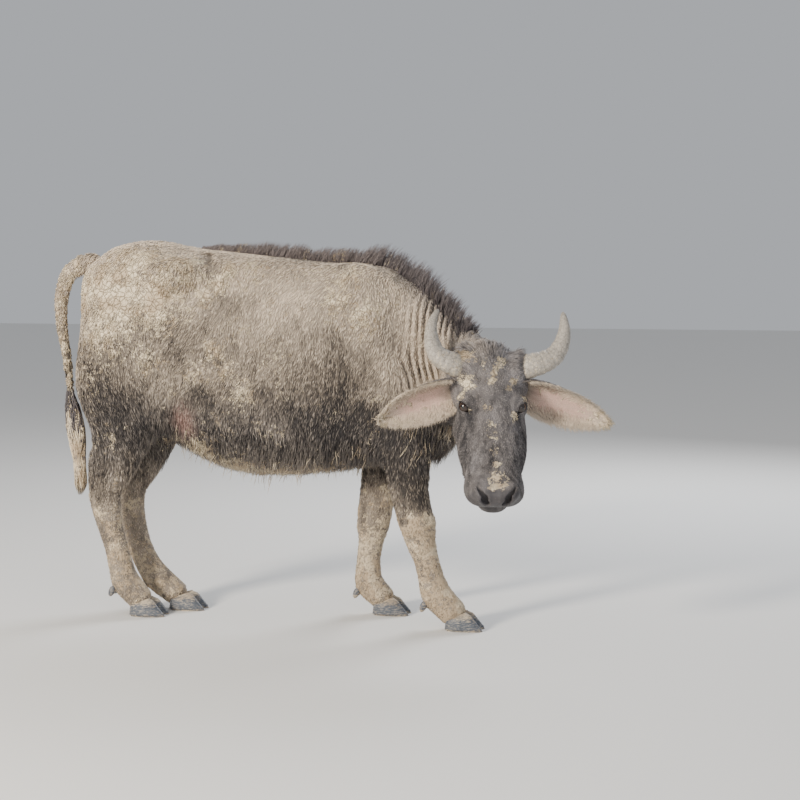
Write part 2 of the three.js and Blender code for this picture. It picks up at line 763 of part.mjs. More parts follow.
// A strip of wedge sections round the front of the muzzle, cut out as the mouth line
function mouthGroove() {
  const steps = 16;
  const sections = [];
  for (let i = 0; i <= steps; i += 1) {
    const angle = MOUTH_SWEEP * (2 * (i / steps) - 1);
    const open = Math.cos((angle / MOUTH_SWEEP) * Math.PI * 0.46);
    const way = [Math.cos(angle), Math.sin(angle)];
    const z = MOUTH_CENTRE[2] + 10 * (1 - open);
    let out = 20;
    while (headField(MOUTH_CENTRE[0] + way[0] * out, way[1] * out, z) < 0) out += 1;
    const at = (r, lift) => new THREE.Vector3(MOUTH_CENTRE[0] + way[0] * r, way[1] * r, z + lift);
    const half = MOUTH_GAPE * (0.25 + 0.5 * open);
    sections.push([at(out - MOUTH_DEPTH * open, 0), at(out + 12, half * 2), at(out + 12, -half * 2)]);
  }
  return loft(sections);
}

function nostrilSolid(side) {
  const geometry = new THREE.SphereGeometry(1, 10, 8);
  geometry.scale(...NOSTRIL.radii);
  geometry.rotateY(THREE.MathUtils.degToRad(-NOSTRIL.lift));
  geometry.rotateZ(THREE.MathUtils.degToRad(NOSTRIL.flare * side));
  geometry.translate(...mirrored(NOSTRIL.at, side));
  return solidOf(geometry);
}

// A thick almond rim round the eye, heavier above
function lidSolid(side) {
  const looks = new THREE.Vector3(...mirrored(EYE_LOOKS, side)).normalize();
  const corners = new THREE.Vector3(...mirrored(EYE_CORNERS, side));
  corners.addScaledVector(looks, -corners.dot(looks)).normalize();
  const above = new THREE.Vector3().crossVectors(looks, corners).multiplyScalar(-side).normalize();
  const centre = new THREE.Vector3(...mirrored(EYE_AT, side)).addScaledVector(looks, LID_OUT);
  const around = 16;
  const steps = 5;
  const position = [];
  const index = [];
  for (let i = 0; i < around; i += 1) {
    const a = (i / around) * Math.PI * 2;
    const rim = centre.clone()
      .addScaledVector(corners, Math.cos(a) * LID_LONG)
      .addScaledVector(above, Math.sin(a) * LID_TALL)
      .addScaledVector(looks, -9 * Math.cos(a) ** 2);
    const out = rim.clone().sub(centre).normalize();
    const thick = LID_THICK * (Math.sin(a) > 0 ? 1 + 0.5 * Math.sin(a) : 1);
    for (let j = 0; j < steps; j += 1) {
      const b = (j / steps) * Math.PI * 2;
      const point = rim.clone()
        .addScaledVector(out, Math.cos(b) * thick)
        .addScaledVector(looks, Math.sin(b) * thick);
      position.push(...point.toArray());
      const nextI = ((i + 1) % around) * steps;
      const nextJ = (j + 1) % steps;
      const [p, q, r, s] = [i * steps + j, nextI + j, nextI + nextJ, i * steps + nextJ];
      index.push(...(side === RIGHT ? [p, q, r, p, r, s] : [p, r, q, p, s, r]));
    }
  }
  const geometry = new THREE.BufferGeometry();
  geometry.setAttribute('position', new THREE.Float32BufferAttribute(position, 3));
  geometry.setIndex(index);
  return solidOf(geometry);
}

// Height of the animal's back over a point
function skinHeight(x, y) {
  let low = 900;
  let high = 1400;
  while (high - low > 0.5) {
    const middle = (low + high) / 2;
    if (wholeField(x, y, middle) < 0) low = middle;
    else high = middle;
  }
  return low;
}

// The low core that standing hair grows from, its foot sunk in the skin
function ridge(stations) {
  const feet = stations.map(([x, y]) => new THREE.Vector3(x, y, skinHeight(x, y)));
  const sections = stations.map((s, i) => {
    const before = feet[Math.max(i - 1, 0)];
    const after = feet[Math.min(i + 1, stations.length - 1)];
    const along = after.clone().sub(before).normalize();
    const side = new THREE.Vector3(-along.y, along.x, 0).normalize();
    const up = new THREE.Vector3().crossVectors(along, side).normalize();
    const height = s[2] * CORE_SHARE;
    const profile = [[-34, s[3]], [0, s[3]], [height, 0.3 * s[3]]];
    const ring = [...profile, ...profile.map(([h, w]) => [h, -w]).reverse()];
    return ring.map(([h, w]) => feet[i].clone().addScaledVector(up, h).addScaledVector(side, w));
  });
  return loft(sections);
}

// Even numbers from 0 to 1 that are the same on every run
function seeded(seed) {
  let state = seed;
  return () => {
    state = (state * 48271) % 2147483647;
    return state / 2147483647;
  };
}

// A flat lock that tapers and bends towards its lean, with its root sunk in the skin
function lockSolid({ root, out, lean, wide, length, width, thick }) {
  const middles = LOCK_TAPER.map(([t]) => root.clone()
    .addScaledVector(out, length * t - LOCK_SUNK * (1 - t))
    .addScaledVector(lean, length * t * t));
  const sections = LOCK_TAPER.map(([, share, thin], i) => {
    const before = middles[Math.max(i - 1, 0)];
    const after = middles[Math.min(i + 1, middles.length - 1)];
    const along = after.clone().sub(before).normalize();
    const flat = wide.clone().addScaledVector(along, -wide.dot(along)).normalize();
    const over = new THREE.Vector3().crossVectors(along, flat);
    return [[1, 1], [-1, 1], [-1, -1], [1, -1]].map(([a, b]) => middles[i].clone()
      .addScaledVector(flat, (a * share * width) / 2)
      .addScaledVector(over, (b * thin * thick) / 2));
  });
  return loft(sections);
}

// Locks in turn left and right of a line of stations, leaning forward along it
function hairRow(stations, count, seed, spread) {
  const random = seeded(seed);
  const line = new THREE.CatmullRomCurve3(stations.map(([x, y, height]) => new THREE.Vector3(x, y, height)));
  const spacing = line.getLength() / count;
  return Array.from({ length: count }, (_, i) => {
    const spot = line.getPointAt((i + 0.3 + 0.4 * random()) / count);
    const way = line.getTangentAt((i + 0.5) / count).setZ(0).normalize();
    const turn = i % 2 === 0 ? RIGHT : LEFT;
    const side = new THREE.Vector3(-way.y, way.x, 0).multiplyScalar(turn);
    const root = new THREE.Vector3(spot.x, spot.y, 0).addScaledVector(side, spread * (0.6 + 0.5 * random()));
    root.z = skinHeight(root.x, root.y);
    const ahead = root.clone().addScaledVector(way, 20);
    ahead.z = skinHeight(ahead.x, ahead.y);
    const along = ahead.sub(root).normalize();
    const up = new THREE.Vector3().crossVectors(along, side).multiplyScalar(turn).normalize();
    return lockSolid({
      root,
      out: up,
      lean: along.clone().multiplyScalar(0.4 + 0.4 * random()).addScaledVector(side, 0.1 + 0.2 * random()),
      wide: along,
      length: spot.z * (0.92 + 0.2 * random()),
      width: spacing * 2.3,
      thick: LOCK_THICK,
    });
  });
}

// Locks that hang from the skin under the brisket
function brisketFringe() {
  const random = seeded(41);
  return Array.from({ length: BRISKET_LOCKS }, (_, i) => {
    const share = i / (BRISKET_LOCKS - 1);
    const x = THREE.MathUtils.lerp(FRINGE.from[0], FRINGE.to[0], share);
    const y = THREE.MathUtils.lerp(FRINGE.from[1], FRINGE.to[1], share) + 16 * (random() - 0.5);
    let z = 500;
    while (wholeField(x, y, z) > 0) z += 1;
    return lockSolid({
      root: new THREE.Vector3(x, y, z),
      out: new THREE.Vector3(0, 0, -1),
      lean: new THREE.Vector3(-0.3, 0.15 * (random() - 0.5), 0),
      wide: new THREE.Vector3(1, 0.25, 0),
      length: FRINGE.length * (0.8 + 0.4 * random()),
      width: FRINGE.width,
      thick: LOCK_THICK,
    });
  });
}

// The tail's brush: a short core and long locks that hang round it
function switchSolid() {
  const random = seeded(77);
  const upper = SWITCH.slice(0, 4).map(([x, y, z, radius]) => [x, y, z, radius * 0.62]);
  let brush = tube(upper, 6, 0.7, 4);
  const lowest = SWITCH[SWITCH.length - 1];
  for (let i = 0; i < SWITCH_LOCKS; i += 1) {
    const angle = (i * 2.4) % (2 * Math.PI);
    const radial = new THREE.Vector3(Math.cos(angle), 0.7 * Math.sin(angle), 0);
    const [x, y, z, radius] = SWITCH[1 + (i % 3)];
    const root = new THREE.Vector3(x, y, z).addScaledVector(radial, radius * 0.42);
    const fall = new THREE.Vector3(lowest[0], lowest[1], lowest[2] + 110 * random()).sub(root);
    brush = brush.add(lockSolid({
      root,
      out: fall.clone().normalize().addScaledVector(radial, 0.16),
      lean: radial.clone().multiplyScalar(-0.14),
      wide: new THREE.Vector3(-radial.y, radial.x, 0),
      length: fall.length(),
      width: 44,
      thick: LOCK_THICK,
    }));
  }
  return brush;
}

// One claw: a flat sole, a sloping toe wall and a straight inner side along the cleft
function clawSolid(foot, inner) {
  const sections = [];
  const levels = [0, 0.14, 0.6, 1];
  const steps = 10;
  for (const level of levels) {
    const z = level * CLAW_HEIGHT;
    const front = CLAW_LENGTH * (0.5 - 0.36 * level);
    const back = -CLAW_LENGTH * (0.5 - 0.04 * level);
    const width = CLAW_WIDTH * (1 - 0.08 * level) * (level === 0 ? 0.94 : 1);
    const section = [];
    for (let j = 0; j < steps; j += 1) {
      const angle = (j / steps) * Math.PI * 2;
      const c = Math.cos(angle);
      const s = Math.sin(angle);
      const x = (front + back) / 2 + ((front - back) / 2) * Math.sign(c) * Math.abs(c) ** 0.85;
      const y = width * (0.5 + 0.5 * Math.sign(s) * Math.abs(s) ** 0.8 * (1 - 0.25 * Math.max(c, 0)));
      section.push(new THREE.Vector3(foot[0] + x, foot[1] + inner * (CLEFT / 2 + y), z));
    }
    sections.push(section);
  }
  return loft(sections);
}

// The open cleft between the two claws of a foot
function cleftBox([x, y]) {
  const half = CLEFT / 2 + 2;
  return box([x - CLAW_LENGTH, y - half, -10], [x + CLAW_LENGTH, y + half, CLAW_HEIGHT + 6], 0);
}

function dewclawSolid(leg, inner) {
  const fetlock = leg.stations[leg.stations.length - 2];
  const at = [fetlock[0] - fetlock[3] * 0.86, fetlock[1] + inner * 24, fetlock[2] - 30];
  const geometry = new THREE.SphereGeometry(15, 6, 4);
  geometry.scale(0.8, 0.9, 1.35);
  geometry.rotateY(0.45);
  geometry.translate(...at);
  return solidOf(geometry);
}

// The parts, each one closed solid
const nodes = [];

function addNode(name, solid, material) {
  nodes.push({ name, solid, material });
}

const head = headSolid();
const neck = neckSolid();
const torso = torsoSolid();

const eyes = {};
const horns = {};
const ears = {};
const inPlace = (solid) => solidOf(geometryOf(solid), headMatrix);
let carvedHead = head.subtract(inPlace(mouthGroove()));
for (const [word, side] of [['right', RIGHT], ['left', LEFT]]) {
  eyes[word] = ball(mirrored(EYE_AT, side), EYE_RADIUS, 12, headMatrix);
  carvedHead = carvedHead.subtract(inPlace(nostrilSolid(side)))
    .add(inPlace(lidSolid(side)))
    .subtract(ball(mirrored(EYE_AT, side), EYE_RADIUS + GAP, 12, headMatrix));
}
const headSkin = grown(carvedHead, GAP);
for (const [word, side] of [['right', RIGHT], ['left', LEFT]]) {
  horns[word] = inPlace(hornSolid(side)).subtract(headSkin);
  ears[word] = inPlace(earSolid(side)).subtract(headSkin);
}

addNode('torso', torso, COLOURS.coat);
addNode('neck', neck, COLOURS.coat);
addNode('head', carvedHead, COLOURS.face);
for (const word of ['right', 'left']) {
  addNode(`horn_${word}`, horns[word], COLOURS.horn);
  addNode(`ear_${word}`, ears[word], COLOURS.coat);
  addNode(`eye_${word}`, eyes[word], COLOURS.eye);
}
for (const [name, leg] of Object.entries(LEGS)) {
  let legPart = legSolid(name);
  legPart = legPart.subtract(cleftBox(leg.foot));
  for (const [word, inner] of [['outer', leg.side], ['inner', -leg.side]]) {
    const claw = clawSolid(leg.foot, inner);
    legPart = legPart.subtract(grown(claw, GAP));
    addNode(`claw_${name}_${word}`, claw, COLOURS.hoof);
  }
  legPart = largest(legPart);
  const legSkin = grown(legPart, GAP);
  for (const [word, inner] of [['outer', leg.side], ['inner', -leg.side]]) {
    addNode(`dewclaw_${name}_${word}`, dewclawSolid(leg, inner).subtract(legSkin), COLOURS.hoof);
  }
  addNode(`leg_${name}`, legPart, COLOURS.mud);
}
const torsoSkin = grown(torso, GAP);
const tail = tube(TAIL, 8, 0.85, 16).subtract(torsoSkin);
addNode('tail', tail, COLOURS.mud);
addNode('tail_switch', switchSolid().subtract(grown(tail, GAP)), COLOURS.hair);

// Puts the origin on the floor under the middle of the whole animal
const group = new THREE.Group();
for (const { name, solid, material } of nodes) {
  const mesh = new THREE.Mesh(geometryOf(solid), material);
  mesh.name = name;
  group.add(mesh);
}
const reach = new THREE.Box3().setFromObject(group);
const centre = reach.getCenter(new THREE.Vector3());
for (const mesh of group.children) {
  mesh.geometry.translate(-centre.x, -centre.y, -reach.min.z);
}

export default group;
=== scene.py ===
# %% [markdown]
# # A young water buffalo, life size
# The real animal stands side on with its head turned towards the camera. Its coat is short,
# shaggy and caked with dried mud. This lesson loads the measured CAD model as a frame, grows
# one smooth skin inside it, and then covers that skin with small solid tufts of hair.
# Everything is made by code, so it comes out the same on every run.

# %% Load the frame
import math

import bpy
import numpy as np
from mathutils import Matrix, Vector


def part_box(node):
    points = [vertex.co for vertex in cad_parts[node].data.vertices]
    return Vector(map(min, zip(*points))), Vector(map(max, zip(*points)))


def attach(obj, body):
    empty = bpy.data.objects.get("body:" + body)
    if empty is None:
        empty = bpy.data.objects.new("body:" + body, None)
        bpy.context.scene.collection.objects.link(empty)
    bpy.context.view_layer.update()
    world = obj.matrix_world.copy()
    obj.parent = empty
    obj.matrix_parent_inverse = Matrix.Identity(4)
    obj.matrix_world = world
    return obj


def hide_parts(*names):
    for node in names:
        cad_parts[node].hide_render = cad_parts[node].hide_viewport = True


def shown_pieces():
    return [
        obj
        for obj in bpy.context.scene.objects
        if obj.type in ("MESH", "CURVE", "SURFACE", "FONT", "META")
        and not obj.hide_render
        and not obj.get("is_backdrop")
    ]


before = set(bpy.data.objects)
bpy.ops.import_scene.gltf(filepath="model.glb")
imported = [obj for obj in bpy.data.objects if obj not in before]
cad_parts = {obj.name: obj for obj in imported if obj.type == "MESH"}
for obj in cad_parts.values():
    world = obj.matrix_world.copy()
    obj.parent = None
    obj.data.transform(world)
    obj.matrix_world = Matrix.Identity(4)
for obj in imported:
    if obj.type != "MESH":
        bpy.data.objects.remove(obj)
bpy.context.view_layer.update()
print("nodes in the frame:", len(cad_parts))

# %% [markdown]
# ## Where the camera stands
# The photograph looks at the animal's right side from a little above its back, with a long
# lens. A long lens keeps the near and the far legs at almost the same size, so the focal
# length matters as much as the direction.

# %% Camera
CAMERA_AT = (1.4714, -6.2376, 1.3)
VIEW_YAW = math.radians(11.0)
VIEW_DROP = math.radians(4.93)
FOCAL_MM = 87.75
SENSOR_MM = 36.0
SIGHT = 60.0


def place_camera():
    lens = bpy.data.cameras.new("photo_lens")
    lens.lens = FOCAL_MM
    lens.sensor_width = SENSOR_MM
    lens.clip_end = SIGHT
    camera = bpy.data.objects.new("photo_camera", lens)
    camera.location = CAMERA_AT
    camera.rotation_euler = (math.radians(90) - VIEW_DROP, 0.0, VIEW_YAW)
    bpy.context.scene.collection.objects.link(camera)
    bpy.context.scene.camera = camera
    return camera


print("camera at", tuple(round(v, 3) for v in place_camera().location))

# %% [markdown]
# ## Noise without images
# Mud, hair length and colour all vary over the body. One repeatable noise serves them all:
# a hashed number on each corner of a lattice, blended smoothly between the corners.

# %% Noise
CORNERS = [(n & 1, (n >> 1) & 1, (n >> 2) & 1) for n in range(8)]
HASH_PRIMES = (73856093, 19349663, 83492791, 2654435761)
HASH_STIR = 1274126177
HASH_TOP = 0xFFFF


def lattice_hash(i, j, k, seed):
    """A number from 0 to 1 for each corner of the lattice, the same on every run."""
    for_i, for_j, for_k, for_seed = HASH_PRIMES
    bits = (i * for_i) ^ (j * for_j) ^ (k * for_k) ^ (seed * for_seed)
    bits = (bits ^ (bits >> 13)) * HASH_STIR
    return ((bits ^ (bits >> 16)) & HASH_TOP) / HASH_TOP


def noise(points, size, seed):
    """Smooth numbers from 0 to 1 at the points, with lumps about `size` metres across."""
    scaled = points / size
    cell = np.floor(scaled).astype(np.int64)
    part = scaled - cell
    part = part * part * (3 - 2 * part)
    total = np.zeros(len(points))
    for corner in CORNERS:
        step = np.array(corner)
        share = np.prod(np.where(step, part, 1 - part), axis=1)
        total += share * lattice_hash(*(cell + step).T, seed)
    return total


def layered(points, size, seed, layers=3):
    """Noise with finer noise laid over it, each layer half as large and half as strong."""
    total = sum(noise(points, size / 2**n, seed + n) * 0.5**n for n in range(layers))
    return total / sum(0.5**n for n in range(layers))


def step_up(value, low, high):
    """0 up to low, 1 from high on, and a smooth rise between them."""
    t = np.clip((value - low) / (high - low), 0, 1)
    return t * t * (3 - 2 * t)


def between(a, b, share):
    """a where the share is 0, b where it is 1, and a mixture of the two in between."""
    return a * (1 - share) + b * share


def spot(u, v, at, size):
    """1 at one place on a plane, fading out smoothly over the spot's size."""
    return np.exp(-(((u - at[0]) / size[0]) ** 2 + ((v - at[1]) / size[1]) ** 2))


probe = layered(np.random.RandomState(1).rand(2000, 3), 0.1, 5)
print("noise runs from", round(probe.min(), 2), "to", round(probe.max(), 2))

# %% [markdown]
# ## The body as a field
# A field gives every point in space a number, below zero inside the animal. Fields blend
# softly where muscles meet, which polygons pushed together by hand don't. The tables hold
# measurements of the same kind, in millimetres, as those that the CAD solids were built from.

# %% Body measurements
TORSO = [
    (-690, 1212, 800, 118, 1040), (-600, 1266, 690, 172, 1010), (-480, 1282, 636, 214, 960),
    (-350, 1259, 560, 236, 890), (-200, 1237, 505, 262, 830), (-50, 1220, 495, 276, 800),
    (100, 1211, 508, 264, 800), (230, 1204, 530, 232, 810), (340, 1160, 575, 190, 830),
    (430, 1066, 640, 140, 850),
]
NECK = [
    (320, 0, 874, 282, 168), (420, -16, 862, 228, 140), (512, -62, 838, 196, 118),
    (580, -118, 840, 156, 102), (628, -164, 850, 112, 90),
]
SKULL = [
    (-25, -46, -150, 66, -88), (10, -18, -186, 92, -84), (60, -3, -208, 104, -80),
    (120, 5, -218, 109, -84), (185, 2, -214, 104, -94), (240, -5, -202, 105, -98),
    (310, -15, -180, 99, -98), (380, -23, -154, 88, -90), (430, -27, -128, 84, -78),
    (468, -33, -110, 80, -72),
]
LEGS = {
    "front_right": [
        (345, -128, 760, 118, 66), (378, -130, 640, 104, 62), (398, -128, 545, 86, 58),
        (404, -124, 465, 72, 54), (416, -120, 400, 66, 52), (430, -117, 350, 62, 54),
        (441, -115, 290, 50, 43), (457, -112, 232, 43, 38), (474, -110, 165, 44, 40),
        (494, -109, 108, 51, 47), (540, -108, 62, 46, 48),
    ],
    "front_left": [
        (310, 128, 760, 118, 66), (292, 130, 640, 102, 62), (272, 128, 545, 84, 58),
        (254, 124, 455, 70, 54), (243, 120, 380, 64, 52), (234, 117, 310, 59, 53),
        (226, 115, 248, 45, 41), (220, 112, 194, 41, 38), (217, 110, 140, 46, 43),
        (222, 109, 104, 50, 47), (262, 108, 60, 45, 48),
    ],
    "hind_right": [
        (-560, -118, 960, 150, 96), (-578, -132, 800, 146, 92), (-578, -126, 680, 112, 78),
        (-590, -116, 590, 104, 64), (-622, -104, 520, 92, 54), (-648, -94, 440, 66, 47),
        (-650, -88, 380, 57, 44), (-637, -80, 300, 46, 39), (-618, -74, 225, 43, 37),
        (-603, -70, 160, 46, 40), (-590, -68, 114, 51, 46), (-546, -66, 62, 46, 47),
    ],
    "hind_left": [
        (-556, 118, 960, 150, 96), (-562, 132, 800, 146, 92), (-552, 126, 680, 112, 78),
        (-560, 116, 590, 102, 64), (-590, 104, 515, 88, 54), (-620, 94, 430, 64, 47),
        (-624, 88, 370, 56, 44), (-608, 80, 295, 46, 39), (-588, 74, 220, 45, 37),
        (-556, 70, 155, 47, 40), (-524, 68, 110, 51, 46), (-462, 66, 60, 47, 47),
    ],
}
FEET = {
    "front_right": (590, -108), "front_left": (304, 108),
    "hind_right": (-504, -66), "hind_left": (-404, 66),
}
TAIL = [
    (-716, 0, 1196, 34), (-758, 0, 1190, 30), (-800, -2, 1158, 27), (-824, -4, 1106, 25),
    (-831, -6, 1040, 22), (-826, -8, 960, 19), (-812, -8, 870, 16), (-804, -8, 790, 13),
    (-800, -8, 735, 11),
]
MASSES = [
    ((290, 118, 985), (112, 66, 215), -22), ((392, 122, 745), (96, 68, 120), 30),
    ((-372, 176, 1158), (96, 66, 62), 10), ((-545, 95, 1120), (150, 82, 110), 12),
    ((-582, 128, 850), (136, 88, 195), 8), ((-462, 142, 735), (62, 52, 92), 18),
    ((-180, 70, 1160), (230, 66, 44), 3),
]
BRISKET = ((452, -8, 668), (88, 76, 88), 0)
HOLLOWS = [
    ((-262, 262, 1118), (72, 62, 78), -20), ((408, 206, 960), (52, 56, 150), -18),
    ((238, 262, 690), (56, 44, 110), 16),
]
print("measured stations:", len(TORSO) + len(NECK) + len(SKULL) + sum(map(len, LEGS.values())))

# %% [markdown]
# ## Three kinds of form
# A barrel follows its outline from station to station, a limb is a chain of flattened cones,
# and a mass is a tilted oval. Distances shrink to the smaller radius, so the blends between
# forms stay even.

# %% Field forms
FAR = 300.0
LEVEL = 0.75


def column(table, index):
    """A smooth curve through one column of a table, as a function of the first column."""
    rows = np.array(table, float)
    x, v = rows[:, 0], rows[:, index]
    slope = np.gradient(v, x)
    slope[1:-1] = (v[2:] - v[:-2]) / (x[2:] - x[:-2])

    def curve(at):
        i = np.clip(np.searchsorted(x, at, side="left") - 1, 0, len(x) - 2)
        span = x[i + 1] - x[i]
        t = np.clip((at - x[i]) / span, 0, 1)
        t2, t3 = t * t, t * t * t
        return (v[i] * (2 * t3 - 3 * t2 + 1) + slope[i] * span * (t3 - 2 * t2 + t)
                + v[i + 1] * (3 * t2 - 2 * t3) + slope[i + 1] * span * (t3 - t2))

    return curve


def barrel(table, ends, square):
    """A rounded barrel from rows of x, top, bottom, half width and height of the widest part."""
    top, bottom, half, widest = [column(table, index) for index in (1, 2, 3, 4)]
    first, last = table[0][0], table[-1][0]

    def value(p):
        x, y, z = p.T
        at = np.clip(x, first, last)
        middle = widest(at)
        tall = np.where(z > middle, top(at) - middle, middle - bottom(at))
        wide = half(at)
        across = (np.abs(y) / wide) ** square + (np.abs(z - middle) / tall) ** square
        beyond = np.where(x < first, (first - x) / ends[0], np.maximum(0, x - last) / ends[1])
        return (np.sqrt(across ** (2 / square) + beyond**2) - 1) * np.minimum(wide, tall)

    return value


def through(points, steps):
    """Points on a centripetal Catmull-Rom curve, `steps` to a span."""
    pts = np.array(points, float)
    ends = (2 * pts[0] - pts[1], 2 * pts[-1] - pts[-2])
    pts = np.vstack([ends[0], pts, ends[1]])
    out = []
    for i in range(1, len(pts) - 2):
        p0, p1, p2, p3 = pts[i - 1:i + 3]
        d = [max(np.linalg.norm(b - a) ** 0.5, 1e-4) for a, b in ((p0, p1), (p1, p2), (p2, p3))]
        m1 = d[1] * ((p1 - p0) / d[0] - (p2 - p0) / (d[0] + d[1]) + (p2 - p1) / d[1])
        m2 = d[1] * ((p2 - p1) / d[1] - (p3 - p1) / (d[1] + d[2]) + (p3 - p2) / d[2])
        for s in range(steps):
            t = s / steps
            out.append((2 * t**3 - 3 * t**2 + 1) * p1 + (t**3 - 2 * t**2 + t) * m1
                       + (3 * t**2 - 2 * t**3) * p2 + (t**3 - t**2) * m2)
    out.append(pts[-2])
    return np.array(out)


def limb(stations, steps):
    """A chain of cones through rows of x, y, z, radius fore and aft, and radius sideways."""
    rows = np.array(stations, float)
    at = through(rows[:, :3], steps)
    place = np.arange(len(at)) / steps
    columns = np.arange(len(rows))
    fore = np.interp(place, columns, rows[:, 3])
    side_radius = np.interp(place, columns, rows[:, -1])

    def value(p):
        least = np.full(len(p), np.inf)
        for i in range(len(at) - 1):
            along = at[i + 1] - at[i]
            flat = np.array([along[0], along[1], 0.0])
            level = np.linalg.norm(flat)
            lies_level = level > LEVEL * np.linalg.norm(along)
            turn = flat / level if lies_level else np.array([1.0, 0, 0])
            side = np.array([-turn[1], turn[0], 0.0])
            d = p - at[i]
            t = np.clip(d @ along / (along @ along), 0, 1)
            v = d - t[:, None] * along
            r = fore[i] + (fore[i + 1] - fore[i]) * t
            w = side_radius[i] + (side_radius[i + 1] - side_radius[i]) * t
            across = v @ side
            rest = np.maximum(0, (v * v).sum(1) - across**2)
            here = (np.sqrt(rest / r**2 + across**2 / w**2) - 1) * np.minimum(r, w)
            np.minimum(least, here, out=least)
        return least

    return value


def mass(at, radii, tilt=0.0):
    """An oval with three radii, tilted by some degrees as seen from the side."""
    c, s = math.cos(math.radians(tilt)), math.sin(math.radians(tilt))

    def value(p):
        x, y, z = (p - np.array(at, float)).T
        u, v, w = (x * c - z * s) / radii[0], y / radii[1], (x * s + z * c) / radii[2]
        return (np.sqrt(u * u + v * v + w * w) - 1) * min(radii)

    return value


def blend(a, b, k):
    """Two forms as one, with a soft seam about k wide."""
    h = np.maximum(k - np.abs(a - b), 0) / k
    return np.minimum(a, b) - h * h * k * 0.25


def carve(a, b, k):
    """The form a with the form b cut out of it."""
    return -blend(-a, b, k)


def near(field, low, high, reach, p):
    """The field's value close to a box, and a large number far from it, which saves time."""
    value = np.full(len(p), FAR)
    close = np.all((p > np.array(low) - reach) & (p < np.array(high) + reach), axis=1)
    if close.any():
        value[close] = field(p[close])
    return value


def twin(at, side):
    """The same place on the right side of the body, for -1, or on the left, for 1."""
    return (at[0], at[1] * side, at[2])


print("height of the back in the middle:", float(column(TORSO, 1)(np.array([0.0]))[0]))

# %% [markdown]
# ## The head's own frame
# The head is drawn straight, from the poll to the nose, and then turned and dropped into
# place. Its smaller forms, such as the orbits, cheeks, nose wings and lips, are listed once
# and mirrored.

# %% Head frame and face forms
POLL = Vector((688, -226, 926))
HEAD_MATRIX = (Matrix.Translation(POLL) @ Matrix.Rotation(math.radians(-77), 4, "Z")
               @ Matrix.Rotation(math.radians(57), 4, "Y")
               @ Matrix.Rotation(math.radians(-2.5), 4, "X"))
HEAD = np.array(HEAD_MATRIX)
HEAD_TURN = HEAD[:3, :3]
HEAD_AT = HEAD[:3, 3]
FACE = [
    ((52, 0, -48), (78, 92, 44)), ((42, 86, -42), (42, 26, 34)), ((80, 98, -84), (40, 28, 40)),
    ((172, 84, -44), (40, 26, 30)), ((160, 80, -158), (104, 38, 78)),
    ((290, 58, -166), (120, 34, 34)), ((275, 84, -92), (96, 26, 30)),
    ((450, 44, -88), (54, 50, 36)), ((474, 44, -42), (34, 28, 20)), ((486, 0, -60), (28, 50, 34)),
    ((454, 0, -136), (54, 57, 25)), ((370, 26, -152), (92, 34, 24)),
    ((44, 84, -34), (46, 35, 43)),
]
EYE_AT = (184, 83, -37)
EYE_RADIUS = 23.0
EYE_LOOKS = (0.45, 0.56, 0.70)
EYE_CORNERS = (0.80, -0.55, 0.1)


def into_head(p):
    """Points of the body in the head's own frame."""
    return (p - HEAD_AT) @ HEAD_TURN


def out_of_head(p):
    return np.asarray(p, float) @ HEAD_TURN.T + HEAD_AT


def unit(v):
    v = np.asarray(v, float)
    return v / np.linalg.norm(v, axis=-1, keepdims=True)


print("nose tip in the body's frame:", np.round(out_of_head([(486, 0, -60)])[0]))

# %% [markdown]
# ## Eyes, lids, nostrils and mouth
# An eyeball sits deep in the skull between two lids. The lids are laid on the face first, as
# soft folds that meet at the corners, a heavy one above and a thinner one below. The almond
# between them and the ball's own socket are then cut away. Nostrils are commas that flare
# outwards, and the mouth line runs round the muzzle.

# %% Face details
LID_LONG = 25.0
LID_OPEN = 11.5
UPPER, LOWER = 1, -1
LID_FOLDS = [
    (LOWER, 12, 4.5, -1.5, 1.3, 9),
    (UPPER, 15, 6.5, -2.0, 1.4, 16),
    (LOWER, 3.5, 4.2, -0.5, 1.06, 5),
    (UPPER, 4.5, 5.5, -0.5, 1.06, 6),
]
NOSTRIL = [(499, 27, -60, 13), (493, 37, -46, 15), (480, 50, -36, 8), (468, 57, -33, 3)]
NOSTRIL_BLEND = 8
MOUTH_MIDDLE = (392, -112)
MOUTH_TURN = math.radians(104)
PHILTRUM = [(518, 0, -52, 2.5, 2.5), (512, 0, -96, 2.5, 2.5)]
LIP_BLEND = 6
FACE_BLEND = 22
EYE_REACH = 70
EYES_ABOVE = -100
MUZZLE_FROM = 360


def eye_axes(side):
    """Which way an eye looks, the way from corner to corner, and the way up its front."""
    looks = unit(twin(EYE_LOOKS, side))
    corners = np.array(twin(EYE_CORNERS, side), float)
    corners = unit(corners - looks * (corners @ looks))
    above = unit(np.cross(looks, corners) * -side)
    return looks, corners, above


def lid_gap(a):
    """Half the height of the opening between the lids, at a place along the eye."""
    return LID_OPEN * np.maximum(0, 1 - (a / LID_LONG) ** 2)


def lid_point(side, a, b, out=0.0):
    """A point on the eyeball's front, a along the eye and b above its middle."""
    looks, corners, above = eye_axes(side)
    least_reach = 7
    reach = math.sqrt(max((EYE_RADIUS + 1) ** 2 - a * a - b * b, least_reach**2))
    return np.array(twin(EYE_AT, side)) + corners * a + above * b + looks * (reach + out)


def lid_fold(side, edge, offset, thick, out, long):
    """A soft fold that follows the upper or the lower edge of the opening."""
    rows = []
    for a in np.linspace(-LID_LONG * long, LID_LONG * long, 13):
        share = 1 - (a / (LID_LONG * long)) ** 2
        b = edge * (float(lid_gap(a)) + offset * (0.35 + 0.65 * share))
        radius = thick * (0.5 + 0.5 * share)
        rows.append((*lid_point(side, a, b, out), radius, radius))
    return limb(rows, 1)


